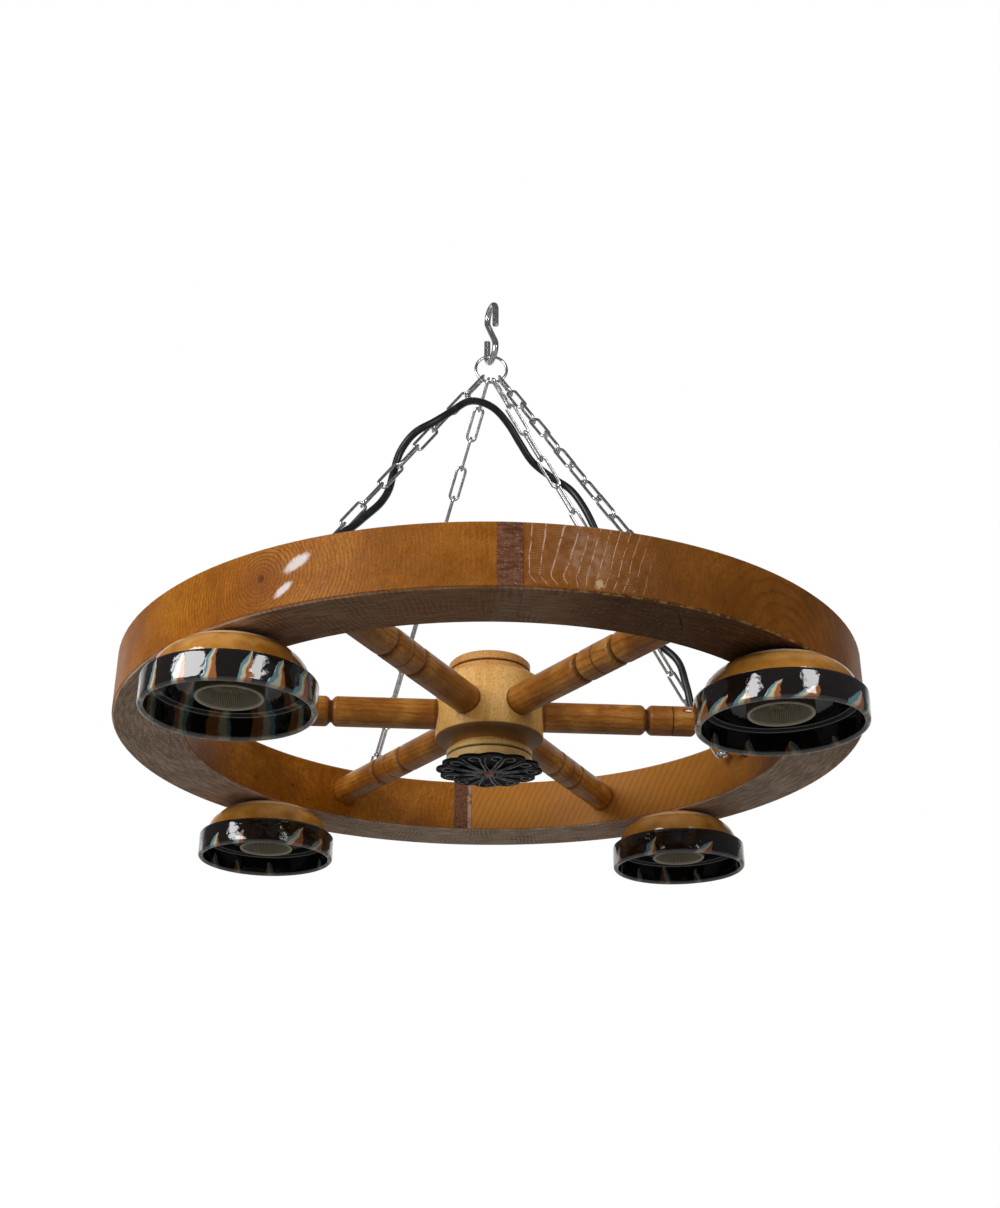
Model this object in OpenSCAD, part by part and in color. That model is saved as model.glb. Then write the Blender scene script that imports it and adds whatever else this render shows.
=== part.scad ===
// Wagon wheel chandelier: a turned hub, six spokes and a rim of two felloes, hung level on four
// link chains from one ring and an S-hook, with a glazed shade and a lampholder under each quarter.
// Millimetres, +Z up. The origin is on the wheel's axis, at the seat inside the hook's upper loop.

/* [Wheel] */
// Outer diameter of the rim
rim_diameter = 550; // [520:5:620]
// Radial width of the rim
rim_width = 50; // [46:1:56]
// Height of the rim
rim_height = 44; // [42:1:52]
// Drop from the hook's upper seat to the rim's underside
hang_drop = 396; // [380:1:440]
// Width of the strip between the felloes at each joint
strip_width = 15.5; // [10:0.5:20]
// Gap between a strip and the right felloe
joint_gap = 0.2; // [0.1:0.1:0.5]
// Bevel along the rim's edges
rim_bevel = 1.5; // [0.5:0.5:3]
// Diameter of the joint dowels
dowel_diameter = 8; // [6:1:10]
// Length of the joint dowels
dowel_length = 50; // [44:2:70]
// Height of the dowels above the rim's underside
dowel_height = 12; // [9:1:16]
// Width of the wiring groove in the rim's top
groove_width = 9; // [8:0.5:11]
// Depth of the wiring groove
groove_depth = 20; // [17:1:22]

/* [Hub and spokes] */
// Diameter of the hub's barrel
barrel_diameter = 81; // [78:1:90]
// Height of the hub's barrel
barrel_height = 47; // [42:1:52]
// Diameter of the collar above the barrel
upper_collar_diameter = 62; // [54:1:70]
// Height of the collar above the barrel
upper_collar_height = 15.5; // [12:0.5:20]
// Diameter of the collar below the barrel
lower_collar_diameter = 64; // [60:1:70]
// Height of the collar below the barrel, with its neck
lower_collar_height = 21.5; // [19:0.5:26]
// Depth of the hub's turned grooves
hub_groove = 1.2; // [0.6:0.2:1.6]
// Diameter of a spoke
spoke_diameter = 23; // [20:0.5:24]
// Height of the spokes' axes above the rim's underside
spoke_height = 23.8; // [20:0.2:26]
// Depth of a spoke's socket in the rim
rim_socket = 13; // [10:0.5:14]
// Depth of a spoke's socket in the hub
hub_socket = 16; // [12:0.5:17]
// Distance of the inner turned notch from the wheel's axis
inner_notch = 119; // [105:1:125]
// Distance of the outer turned notch from the wheel's axis
outer_notch = 158; // [150:1:175]
// Depth of the turned notches
notch_depth = 3; // [1.5:0.5:4]

/* [Hook and ring] */
// Wire diameter of the S-hook
hook_wire = 5.5; // [5:0.5:6]
// Overall length of the S-hook
hook_length = 60.5; // [58:0.5:70]
// Radius of the hook's bends, at the middle of the wire
hook_bend = 9.65; // [9:0.05:10.5]
// Direction of the hook's plane round the vertical
hook_bearing = -73; // [-90:1:-60]
// Length of the straight leg at each end of the hook
hook_leg = 15; // [10:0.5:17]
// Wire diameter of the gathering ring
ring_wire = 2.5; // [2:0.1:3]
// Radius of the gathering ring, at the middle of the wire
ring_radius = 13; // [12:0.25:16]

/* [Chains] */
// Number of links in each chain
link_count = 14; // [12:2:16]
// Wire diameter of the links
link_wire = 2.4; // [2:0.1:2.6]
// Outer width of a link
link_width = 9.6; // [9:0.1:10.5]
// Wire diameter of the screw eyes
eye_wire = 2.5; // [2:0.1:2.6]
// Radius of a screw eye's ring, at the middle of the wire
eye_radius = 4.5; // [4:0.1:5.5]
// Distance from an eye's centre to the rim's inner face
eye_standoff = 7.5; // [7:0.1:9]
// Height of the screw eyes above the rim's underside
eye_height = 29; // [26:0.5:34]
// Diameter of an eye's shank
shank_diameter = 3; // [2.8:0.1:4]
// Depth of an eye's shank in the wood
shank_depth = 14; // [10:1:16]

/* [Lamps] */
// Distance from the rim's outer face in to the lamps' axes
lamp_inset = 28; // [26.5:0.5:30]
// Outer diameter of a shade
shade_diameter = 112; // [108:1:118]
// Height of a shade
shade_height = 44.5; // [42:0.5:48]
// Height of the shade's upright band
band_height = 20.5; // [17:0.5:23]
// Diameter of the dome where it leaves the band
dome_diameter = 100; // [94:1:104]
// Diameter of the dome's flat top
crown_diameter = 51; // [48:1:60]
// Wall of a shade
shade_wall = 4.5; // [3.5:0.5:5]
// Outer diameter of a lampholder's skirt
skirt_diameter = 44; // [43:0.5:46]
// Wall of a lampholder's skirt
skirt_wall = 2.2; // [1.6:0.2:2.6]
// Distance from the shade's lip up to the skirt's mouth
skirt_recess = 9; // [6:0.5:12]
// Thread bore of a lampholder's screw shell
shell_bore = 26.6; // [26.4:0.1:26.8]
// Length of the screw shell's thread
shell_length = 11; // [9:0.5:12]
// Wall of the screw shell
shell_wall = 0.6; // [0.4:0.1:0.8]
// Thickness of the lampholder's insulating base
base_thickness = 6; // [5.5:0.5:7]
// Outer diameter of the threaded nipples
nipple_diameter = 10; // [9.6:0.1:11]
// Bore of the threaded nipples
nipple_bore = 7; // [6.8:0.1:7.5]
// Width of a nipple's nut across its flats
nut_width = 14; // [13:0.5:16]
// Height of a nipple's nut
nut_height = 4; // [3:0.5:5]

/* [Rosette] */
// Diameter of the rosette under the hub
rosette_diameter = 79; // [76:1:88]
// Number of petals
petal_count = 12; // [10:1:14]
// Thickness of the rosette at its petals' tips
petal_thickness = 1.2; // [1:0.1:2]
// Thickness of the rosette at its centre
rosette_centre = 3.4; // [2.8:0.1:4.5]
// Head diameter of the rosette's screw
screw_head = 8.5; // [7.5:0.5:10]

/* [Wiring] */
// Diameter of the lighting cable
cable_diameter = 6.2; // [6:0.1:6.4]
// Height of the cable's holes above the rim's underside
cable_height = 28; // [26:0.5:30]
// Diameter of the wires in the rim's groove
wire_diameter = 2.6; // [2.2:0.1:2.8]

/* [Hidden] */

// clearances and plays
fit = 0.05;              // radial clearance of a pushed or glued fit
cut = 1;                 // overshoot of a cutting body
hook_play = 0.25;        // between the ring and the hook's lower seat
shank_step = 0.01;       // by which the hook's straight wire is thinner than its bends
shank_overlap = 0.3;     // of the straight wire in each bend
link_play = 0.1;         // between the links of the longest chain
end_play = 0.6;          // between an end link and the ring or eye it holds
wire_play = 0.05;        // between a wire and the clip it lies in
grommet_play = 0.4;      // between the cable and a grommet's bore
nipple_play = 0.25;      // between a nipple and its hole in the wood and the glaze
clip_play = 0.3;         // between a clip and the groove's walls
connector_play = 0.7;    // between a connector and the groove's outer wall

// facets
wire_facets = 24;
pin_facets = 48;         // holes, pins and small turned pieces
turned_facets = 120;     // the rim, hub and shades

// the wheel
outer_radius = rim_diameter / 2;
inner_radius = outer_radius - rim_width;
rim_z = -hang_drop;
rim_top = rim_z + rim_height;
groove_radius = outer_radius - lamp_inset;
groove_floor = rim_top - groove_depth;
spoke_z = rim_z + spoke_height;
spoke_count = 6;
spoke_step = 360 / spoke_count;
dowel_spacing = rim_width / 4;
socket_gap = 0.5;        // end gap of a spoke in each socket
scribe_depth = 0.5;      // of the line between a spoke's notches
// half of a turned notch's outline, as distance from its middle and share of its depth
notch_outline = [[0.6, 1], [2.2, 1 / 3], [4, 0]];

// the hub, from the top down
barrel_over_spokes = 26.2;
barrel_top = spoke_z + barrel_over_spokes;
barrel_bottom = barrel_top - barrel_height;
hub_top = barrel_top + upper_collar_height;
hub_bottom = barrel_bottom - lower_collar_height;
barrel_radius = barrel_diameter / 2;
upper_radius = upper_collar_diameter / 2;
lower_radius = lower_collar_diameter / 2;
neck_inset = 4;
neck_radius = lower_radius - neck_inset;
turned_bevel = 2;
undercut = 5.5;          // height of the cone under the barrel
neck_height = 1.5;
collar_groove = 6;       // distance of a collar's groove from its shoulder

// the hook and ring
hook_top_centre = hook_wire / 2 - hook_bend;
hook_low_centre = hook_wire - hook_length + hook_wire / 2 + hook_bend;
hook_seat = hook_wire - hook_length + hook_wire;
ring_top = hook_seat + ring_wire / 2 + hook_play;
ring_z = ring_top - ring_radius;
hook_cross = acos(2 * hook_bend / (hook_top_centre - hook_low_centre));

// the chains, in the order front left, back left, back right, front right
chain_azimuth = [204, 115, 24, 304];
chain_seat = [-38, -13, 13, 38];
eye_turn = [90, 0, 90, 0];
chain_count = len(chain_azimuth);
eye_tip = 1;             // diameter of an eye's point
eye_point_length = 3;
link_bend = (link_width - link_wire) / 2;
eye_z = rim_z + eye_height;
first_reach = (ring_wire + link_wire) / 2 + end_play;
last_reach = (eye_wire + link_wire) / 2 + end_play;

// the lamps
lamp_count = 4;
lamp_step = 360 / lamp_count;
first_lamp = lamp_step / 2;
dome_height = shade_height - band_height;
skirt_radius = skirt_diameter / 2;
skirt_bore = skirt_radius - skirt_wall;
shell_radius = shell_bore / 2 + shell_wall;
ceiling = rim_z - shade_wall;
base_bottom = ceiling - base_thickness;
skirt_mouth = rim_z - shade_height + skirt_recess;
nipple_hole = nipple_diameter / 2 + nipple_play;
nipple_grip = 4.5;       // depth of a nipple in its lampholder's base
nipple_seat = ceiling - nipple_grip;
nipple_stand = 3;        // height of a nipple above its nut
nipple_top = groove_floor + nut_height + nipple_stand;
pocket_room = 2;         // round a nut, for a box spanner
pocket_radius = nut_width / 2 / cos(30) + pocket_room;
wire_way = 3;            // radius of the wires' way through a base
contact_radius = 3.5;
contact_stem = 2;
contact_tip = 1;
well_radius = 9.5;       // room for a lamp cap's tip round the centre contact
well_play = 0.8;         // from the contact's tip to the well's mouth
well_depth = contact_stem + contact_tip + well_play;
shell_flange = 0.8;
dome_steps = 8;
shoulder = 1.5;          // bevel of the band's edges

// the rosette
rosette_radius = rosette_diameter / 2;
petal_radius = 10.5;
rosette_bottom = hub_bottom - rosette_centre;
screw_shank = 3;
screw_depth = 16;
screw_end_gap = 1;
head_height = 1.6;
head_taper = 0.7;        // share of the head's diameter at its top

// the wiring
cable_radius = cable_diameter / 2;
cable_z = rim_z + cable_height;
first_cable_azimuth = atan2(-5, -8);
second_cable_azimuth = atan2(1, 3);
wire_lift = 10;          // of the groove's wires above its floor
wire_z = groove_floor + wire_lift;
wire_offset = 1.8;       // from the groove's middle to each wire
drop_wire = 2;
drop_end = 1;            // depth of a drop in its lampholder's base, short of the contact
clip_count = 8;
clip_step = 360 / clip_count;
clip_length = 6;
clip_height = 12;
connector_length = 16;
connector_height = 7.4;
connector_front = 1.7;   // from the groove's middle in to a connector's face
connector_face = groove_radius - connector_front;
grommet_bore = cable_radius + grommet_play;
grommet_wall = 1.2;
grommet_radius = grommet_bore + grommet_wall;
grommet_end_gap = 0.5;   // from a grommet's end to the groove
flange_width = 1.5;
flange_radius = grommet_radius + flange_width;
flange_thickness = 1.5;
flange_back = sqrt(inner_radius * inner_radius - flange_radius * flange_radius);

// the cable's route, from the first hole up round the front left chain and down the back right one,
// drawn for a rim whose groove has this radius, with the holes and the crest at these heights
drawn_groove = 247;
drawn_hole = -368;
drawn_crest = -97;
crest_drop = 36;         // from the ring's centre to the cable's crest
cable_points = [
    [-208, -130, -368], [-198, -123.75, -368], [-188, -117.5, -368], [-169, -105, -363],
    [-155, -92, -348], [-150, -82, -322], [-146, -75, -298], [-135, -69, -278],
    [-123, -63, -261], [-109, -54, -245], [-98, -45, -229], [-88, -36, -213],
    [-82, -27, -196], [-79, -21, -178], [-74, -22, -158], [-63, -27, -143],
    [-47, -28, -132], [-34, -23, -119], [-21, -15, -104], [-9, -5, -97],
    [4, 4, -98], [16, 13, -107], [26, 19, -121], [37, 25, -135],
    [53, 31, -145], [69, 30, -157], [80, 28, -175], [89, 29, -195],
    [97, 33, -216], [105, 39, -237], [111, 51, -255], [125, 65, -267],
    [145, 70, -278], [160, 65, -295], [165, 60, -319], [171, 60, -347],
    [187, 64, -363], [210, 70, -368], [222, 74, -368], [232.5, 77.5, -368]
];
cable_sides = 8;
cable_steps = 2;

// ---- directions and points ----

function unit(v) = v / norm(v);

function flipped(points) = [for (i = [len(points) - 1:-1:0]) points[i]];

function polar(r, azimuth, z) = [r * cos(azimuth), r * sin(azimuth), z];

function half_turn(angle) = angle - 180 * round(angle / 180);

// where chain i bears on the ring
function ring_point(i) =
    [ring_radius * sin(chain_seat[i]), 0, ring_z - ring_radius * cos(chain_seat[i])];

function ring_tangent(i) = [cos(chain_seat[i]), 0, sin(chain_seat[i])];

// the eye's ring lies in the plane of its shank and this direction
function eye_across(i) =
    sin(eye_turn[i]) * polar(1, chain_azimuth[i] + 90, 0) + cos(eye_turn[i]) * [0, 0, 1];

function eye_centre(i) = polar(inner_radius - eye_standoff, chain_azimuth[i], eye_z);

// where chain i bears on its eye, from the eye's centre
function eye_bearing(i) =
    let (
        shank = polar(1, chain_azimuth[i], 0),
        across = eye_across(i),
        pull = unit(ring_point(i) - eye_centre(i))
    )
    unit((pull * shank) * shank + (pull * across) * across);

function eye_point(i) = eye_centre(i) + eye_radius * eye_bearing(i);

function eye_tangent(i) = cross(cross(polar(1, chain_azimuth[i], 0), eye_across(i)), eye_bearing(i));

function chain_line(i) = eye_point(i) - ring_point(i);

function chain_reach(i) = norm(chain_line(i)) + first_reach + last_reach;

// distance between the end wires of a link, set by the longest of the chains
longest_reach = max([for (i = [0:chain_count - 1]) chain_reach(i)]);
link_span = (longest_reach + (link_count - 1) * (link_wire + link_play)) / link_count;

// roll of a link about chain i so that the link's normal lies nearest to v
function link_roll(i, v) =
    let (
        along = unit(chain_line(i)),
        tilt = asin(-along.z),
        turn = atan2(along.y, along.x)
    )
    atan2(
        v.x * sin(turn) - v.y * cos(turn),
        v * [sin(tilt) * cos(turn), sin(tilt) * sin(turn), cos(tilt)]
    );

// ---- shared shapes ----

// an arc of round wire about the Z axis, from the X axis
module wire_arc(bend, wire, sweep) {
    rotate_extrude(angle = sweep, $fn = turned_facets)
        translate([bend, 0])
            circle(d = wire, $fn = wire_facets);
}

module wire_ring(bend, wire) {
    rotate_extrude($fn = turned_facets)
        translate([bend, 0])
            circle(d = wire, $fn = wire_facets);
}

module tube(outer, inner, height) {
    difference() {
        cylinder(r = outer, h = height, $fn = turned_facets);
        translate([0, 0, -cut])
            cylinder(r = inner, h = height + 2 * cut, $fn = turned_facets);
    }
}

// a bore from radius r outwards along the direction azimuth
module radial_bore(r, azimuth, z, radius, depth) {
    rotate([0, 0, azimuth])
        translate([r, 0, z])
            rotate([0, 90, 0])
                cylinder(r = radius, h = depth, $fn = pin_facets);
}

module at_lamp(i) {
    translate(polar(groove_radius, first_lamp + lamp_step * i, 0))
        children();
}

// ---- the hook and ring ----

module s_hook() {
    color("silver")
        rotate([0, 0, hook_bearing])
            rotate([90, 0, 0]) {
                translate([0, hook_top_centre, 0])
                    wire_arc(hook_bend, hook_wire, 270 - hook_cross);
                translate([0, hook_low_centre, 0])
                    rotate([0, 0, 180])
                        wire_arc(hook_bend, hook_wire, 270 - hook_cross);
                hook_shank();
                hook_end(hook_bend, hook_top_centre - hook_leg);
                hook_end(-hook_bend, hook_low_centre);
            }
}

// the straight wire that crosses from one bend to the other
module hook_shank() {
    middle = (hook_top_centre + hook_low_centre) / 2;
    length = 2 * (hook_bend * tan(hook_cross) + shank_overlap);
    translate([0, middle, 0])
        rotate([0, 0, -hook_cross])
            rotate([0, 90, 0])
                translate([0, 0, -length / 2])
                    cylinder(r = hook_wire / 2 - shank_step, h = length, $fn = wire_facets);
}

module hook_end(x, y) {
    translate([x, y, 0])
        rotate([-90, 0, 0])
            cylinder(d = hook_wire, h = hook_leg, $fn = wire_facets);
}

module gather_ring() {
    color("silver")
        translate([0, 0, ring_z])
            rotate([90, 0, 0])
                wire_ring(ring_radius, ring_wire);
}

// ---- the chains ----

// one link along the X axis, its first end wire on the origin
module chain_link() {
    straight = link_span - 2 * link_bend;
    for (side = [-1, 1])
        translate([link_bend, side * link_bend, 0])
            rotate([0, 90, 0])
                cylinder(d = link_wire, h = straight, $fn = wire_facets);
    translate([link_bend, 0, 0])
        rotate([0, 0, 90])
            wire_arc(link_bend, link_wire, 180);
    translate([link_bend + straight, 0, 0])
        rotate([0, 0, -90])
            wire_arc(link_bend, link_wire, 180);
}

// the links alternate by a quarter turn, with the small twist that brings the last one round its eye
module chain(i) {
    along = unit(chain_line(i));
    pitch = (chain_reach(i) - link_span) / (link_count - 1);
    first_roll = link_roll(i, ring_tangent(i));
    last_roll = link_roll(i, eye_tangent(i));
    twist = half_turn(last_roll - first_roll - 90 * (link_count - 1));
    translate(ring_point(i) - first_reach * along)
        rotate([0, asin(-along.z), atan2(along.y, along.x)])
            for (k = [0:link_count - 1])
                translate([k * pitch, 0, 0])
                    rotate([first_roll + k * (90 + twist / (link_count - 1)), 0, 0])
                        chain_link();
}

module chain_front_left() {
    color("silver") chain(0);
}

module chain_back_left() {
    color("silver") chain(1);
}

module chain_back_right() {
    color("silver") chain(2);
}

module chain_front_right() {
    color("silver") chain(3);
}

// a screw eye with its shank out along the X axis
module screw_eye() {
    shank_end = eye_standoff + shank_depth - eye_point_length;
    wire_ring(eye_radius, eye_wire);
    translate([eye_radius, 0, 0])
        rotate([0, 90, 0])
            cylinder(d = shank_diameter, h = shank_end - eye_radius, $fn = wire_facets);
    translate([shank_end, 0, 0])
        rotate([0, 90, 0])
            cylinder(d1 = shank_diameter, d2 = eye_tip, h = eye_point_length, $fn = wire_facets);
}

module chain_eyes() {
    color("silver")
        for (i = [0:chain_count - 1])
            translate(eye_centre(i))
                rotate([0, 0, chain_azimuth[i]])
                    rotate([90 - eye_turn[i], 0, 0])
                        screw_eye();
}

// ---- the rim ----

// the whole ring of wood with its wiring groove
module rim_ring() {
    translate([0, 0, rim_z])
        rotate_extrude($fn = turned_facets)
            difference() {
                polygon([
                    [inner_radius + rim_bevel, 0],
                    [outer_radius - rim_bevel, 0],
                    [outer_radius, rim_bevel],
                    [outer_radius, rim_height - rim_bevel],
                    [outer_radius - rim_bevel, rim_height],
                    [inner_radius + rim_bevel, rim_height],
                    [inner_radius, rim_height - rim_bevel],
                    [inner_radius, rim_bevel]
                ]);
                translate([groove_radius - groove_width / 2, rim_height - groove_depth])
                    square([groove_width, groove_depth + cut]);
            }
}

// a block of space over the rim's whole depth, from x0 to x1 and y0 to y1
module slab(x0, x1, y0, y1) {
    translate([x0, y0, rim_z - cut])
        cube([x1 - x0, y1 - y0, rim_height + 2 * cut]);
}

module dowels(radius, length) {
    for (end = [-1, 1], side = [-1, 1])
        translate([0, end * (outer_radius - rim_width / 2 + side * dowel_spacing), rim_z + dowel_height])
            rotate([0, 90, 0])
                cylinder(r = radius, h = length, center = true, $fn = pin_facets);
}

module dowel_holes() {
    dowels(dowel_diameter / 2 + fit, dowel_length + 2 * cut);
}

module felloe(x0, x1) {
    difference() {
        intersection() {
            rim_ring();
            slab(x0, x1, -outer_radius - cut, outer_radius + cut);
        }
        dowel_holes();
        for (k = [0:spoke_count - 1])
            radial_bore(inner_radius - rim_width / 2, k * spoke_step, spoke_z,
                spoke_diameter / 2 + fit, rim_socket + rim_width / 2);
        for (i = [0:chain_count - 1])
            radial_bore(inner_radius - cut, chain_azimuth[i], eye_z,
                shank_diameter / 2 + fit, shank_depth + 2 * cut);
        for (azimuth = [first_cable_azimuth, second_cable_azimuth])
            radial_bore(inner_radius - cut, azimuth, cable_z, grommet_radius + fit,
                groove_radius - inner_radius + cut);
        for (i = [0:lamp_count - 1])
            at_lamp(i) {
                translate([0, 0, rim_z - cut])
                    cylinder(r = nipple_hole, h = rim_height, $fn = pin_facets);
                translate([0, 0, groove_floor])
                    cylinder(r = pocket_radius, h = groove_depth + cut, $fn = pin_facets);
            }
    }
}

module rim_left() {
    color("peru") felloe(-outer_radius - cut, -strip_width);
}

module rim_right() {
    color("peru") felloe(joint_gap, outer_radius + cut);
}

module joint_strip(y0, y1) {
    difference() {
        intersection() {
            rim_ring();
            slab(-strip_width, 0, y0, y1);
        }
        dowel_holes();
    }
}

module joint_strip_front() {
    color("sienna") joint_strip(-outer_radius - cut, 0);
}

module joint_strip_back() {
    color("sienna") joint_strip(0, outer_radius + cut);
}

module felloe_dowels() {
    color("burlywood") dowels(dowel_diameter / 2, dowel_length);
}

// ---- the hub, spokes and rosette ----

// the notch of a turned groove in a profile, at radius r and height z
function groove(r, z) = [[r, z + hub_groove], [r - hub_groove, z], [r, z - hub_groove]];

module hub() {
    profile = concat(
        [[0, hub_top], [upper_radius - turned_bevel, hub_top], [upper_radius, hub_top - turned_bevel]],
        groove(upper_radius, barrel_top + upper_collar_height / 2),
        [[upper_radius, barrel_top + hub_groove], [upper_radius - hub_groove, barrel_top]],
        [[barrel_radius - turned_bevel, barrel_top], [barrel_radius, barrel_top - turned_bevel]],
        [[barrel_radius, barrel_bottom + turned_bevel], [barrel_radius - turned_bevel, barrel_bottom]],
        [[neck_radius, barrel_bottom - undercut], [neck_radius, barrel_bottom - undercut - neck_height]],
        [[lower_radius, barrel_bottom - undercut - neck_height - turned_bevel]],
        groove(lower_radius, barrel_bottom - undercut - neck_height - collar_groove),
        [[lower_radius, hub_bottom + turned_bevel], [lower_radius - turned_bevel, hub_bottom]],
        [[0, hub_bottom]]
    );
    color("burlywood")
        difference() {
            rotate_extrude($fn = turned_facets)
                polygon(profile);
            for (k = [0:spoke_count - 1])
                radial_bore(barrel_radius - hub_socket, k * spoke_step, spoke_z,
                    spoke_diameter / 2 + fit, hub_socket + cut);
            translate([0, 0, hub_bottom - cut])
                cylinder(r = screw_shank / 2 + fit, h = screw_depth + cut, $fn = pin_facets);
        }
}

// a rounded V turned into a spoke at distance x from the wheel's axis
function notch(x) =
    let (
        half = [for (p = notch_outline) [spoke_diameter / 2 - notch_depth * p[1], p[0]]]
    )
    concat([for (p = flipped(half)) [p[0], x - p[1]]], [for (p = half) [p[0], x + p[1]]]);

module spoke(k) {
    radius = spoke_diameter / 2;
    inner_end = barrel_radius - hub_socket + socket_gap;
    outer_end = inner_radius + rim_socket - socket_gap;
    scribe = (inner_notch + outer_notch) / 2;
    profile = concat(
        [[0, inner_end], [radius, inner_end]],
        notch(inner_notch),
        [[radius, scribe - scribe_depth], [radius - scribe_depth, scribe], [radius, scribe + scribe_depth]],
        notch(outer_notch),
        [[radius, outer_end], [0, outer_end]]
    );
    color("peru")
        translate([0, 0, spoke_z])
            rotate([0, 0, k * spoke_step])
                rotate([0, 90, 0])
                    rotate_extrude($fn = turned_facets)
                        polygon(profile);
}

module rosette() {
    color("dimgray")
        difference() {
            intersection() {
                translate([0, 0, rosette_bottom])
                    linear_extrude(rosette_centre)
                        petals();
                rotate_extrude($fn = turned_facets)
                    polygon([
                        [0, hub_bottom],
                        [rosette_radius + cut, hub_bottom],
                        [rosette_radius + cut, hub_bottom - petal_thickness],
                        [screw_head, rosette_bottom],
                        [0, rosette_bottom]
                    ]);
            }
            translate([0, 0, rosette_bottom - cut])
                cylinder(r = screw_shank / 2 + fit, h = rosette_centre + 2 * cut, $fn = pin_facets);
        }
}

module petals() {
    circle(r = rosette_radius - petal_radius, $fn = turned_facets);
    for (k = [0:petal_count - 1])
        rotate([0, 0, k * 360 / petal_count])
            translate([rosette_radius - petal_radius, 0])
                circle(r = petal_radius, $fn = pin_facets);
}

module rosette_screw() {
    color("saddlebrown")
        translate([0, 0, rosette_bottom]) {
            translate([0, 0, -head_height])
                cylinder(d1 = screw_head * head_taper, d2 = screw_head, h = head_height, $fn = pin_facets);
            cylinder(d = screw_shank, h = rosette_centre + screw_depth - screw_end_gap, $fn = pin_facets);
        }
}

// ---- the lamps ----

// points down an elliptical dome from its flat crown to its base, as [radius, z]
function dome(base, crown, top, height) =
    let (
        last = acos(crown / base),
        rise = height / sin(last)
    )
    [for (s = [dome_steps:-1:0])
        [base * cos(s * last / dome_steps), top - height + rise * sin(s * last / dome_steps)]];

module shade(i) {
    outer = shade_diameter / 2;
    band = outer - shade_wall;
    crown = crown_diameter / 2;
    outside = dome(dome_diameter / 2, crown, 0, dome_height);
    inside = dome(dome_diameter / 2 - shade_wall, crown - shade_wall / 2, -shade_wall, dome_height);
    profile = concat(
        [[nipple_hole, 0]],
        outside,
        [[outer - shoulder, -dome_height], [outer, -dome_height - shoulder]],
        [[outer, shoulder - shade_height], [outer - shoulder, -shade_height]],
        [[band + shoulder, -shade_height], [band, shoulder - shade_height]],
        [[band, -dome_height - shade_wall]],
        flipped(inside),
        [[nipple_hole, -shade_wall]]
    );
    color("saddlebrown")
        at_lamp(i)
            translate([0, 0, rim_z])
                rotate_extrude($fn = turned_facets)
                    polygon(profile);
}

// the insulator, with a well round its centre contact
module holder_base(i) {
    color("dimgray")
        at_lamp(i)
            difference() {
                union() {
                    translate([0, 0, base_bottom])
                        cylinder(r = skirt_bore - fit, h = base_thickness, $fn = turned_facets);
                    translate([0, 0, base_bottom - well_depth])
                        tube(shell_radius, well_radius, well_depth + base_thickness / 2);
                }
                translate([0, 0, base_bottom - cut])
                    cylinder(r = wire_way, h = base_thickness + 2 * cut, $fn = pin_facets);
                translate([0, 0, nipple_seat])
                    cylinder(r = nipple_diameter / 2 + fit, h = base_thickness, $fn = pin_facets);
            }
}

// the brass thread sleeve, with a flange against the mouth of the base's well
module screw_shell(i) {
    color("goldenrod")
        at_lamp(i)
            translate([0, 0, base_bottom - well_depth - shell_flange - shell_length]) {
                tube(shell_radius, shell_bore / 2, shell_length);
                translate([0, 0, shell_length])
                    tube(shell_radius, well_radius, shell_flange);
            }
}

module centre_contact(i) {
    color("goldenrod")
        at_lamp(i)
            translate([0, 0, base_bottom - contact_stem - contact_tip]) {
                translate([0, 0, contact_tip])
                    cylinder(r = contact_radius, h = contact_stem, $fn = pin_facets);
                cylinder(r1 = contact_radius / 2, r2 = contact_radius, h = contact_tip, $fn = pin_facets);
            }
}

module holder_skirt(i) {
    color("darkkhaki")
        at_lamp(i)
            translate([0, 0, skirt_mouth])
                tube(skirt_radius, skirt_bore, ceiling - skirt_mouth);
}

module lamp_nipples() {
    color("goldenrod")
        for (i = [0:lamp_count - 1])
            at_lamp(i)
                translate([0, 0, nipple_seat])
                    tube(nipple_diameter / 2, nipple_bore / 2, nipple_top - nipple_seat);
}

module nipple_nuts() {
    color("goldenrod")
        for (i = [0:lamp_count - 1])
            at_lamp(i)
                translate([0, 0, groove_floor])
                    difference() {
                        cylinder(d = nut_width / cos(30), h = nut_height, $fn = 6);
                        translate([0, 0, -cut])
                            cylinder(
                                r = nipple_diameter / 2 + fit,
                                h = nut_height + 2 * cut,
                                $fn = pin_facets
                            );
                    }
}

// ---- the wiring ----

// the two wires that run round the groove, as solids of the given diameter
module groove_wires(diameter) {
    for (side = [-1, 1])
        translate([0, 0, wire_z])
            wire_ring(groove_radius + side * wire_offset, diameter);
}

// a pair of wires from the groove's wires down to height z, at an angle round the rim
module wire_drops(azimuth, z) {
    for (side = [-1, 1])
        translate(polar(groove_radius + side * wire_offset, azimuth, z))
            cylinder(d = drop_wire, h = wire_z - z, $fn = wire_facets);
}

module rim_wiring() {
    color("royalblue") {
        groove_wires(wire_diameter);
        for (i = [0:lamp_count - 1])
            wire_drops(first_lamp + lamp_step * i, base_bottom + drop_end);
        for (azimuth = [first_cable_azimuth, second_cable_azimuth])
            wire_drops(azimuth, groove_floor + connector_height);
    }
}

module groove_block(azimuth, r0, r1, length, height) {
    rotate([0, 0, azimuth])
        translate([r0, -length / 2, groove_floor])
            cube([r1 - r0, length, height]);
}

module wire_clips() {
    side = groove_width / 2 - clip_play;
    color("white")
        difference() {
            for (k = [0:clip_count - 1])
                groove_block((k + 0.25) * clip_step, groove_radius - side, groove_radius + side,
                    clip_length, clip_height);
            groove_wires(wire_diameter + 2 * wire_play);
        }
}

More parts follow.
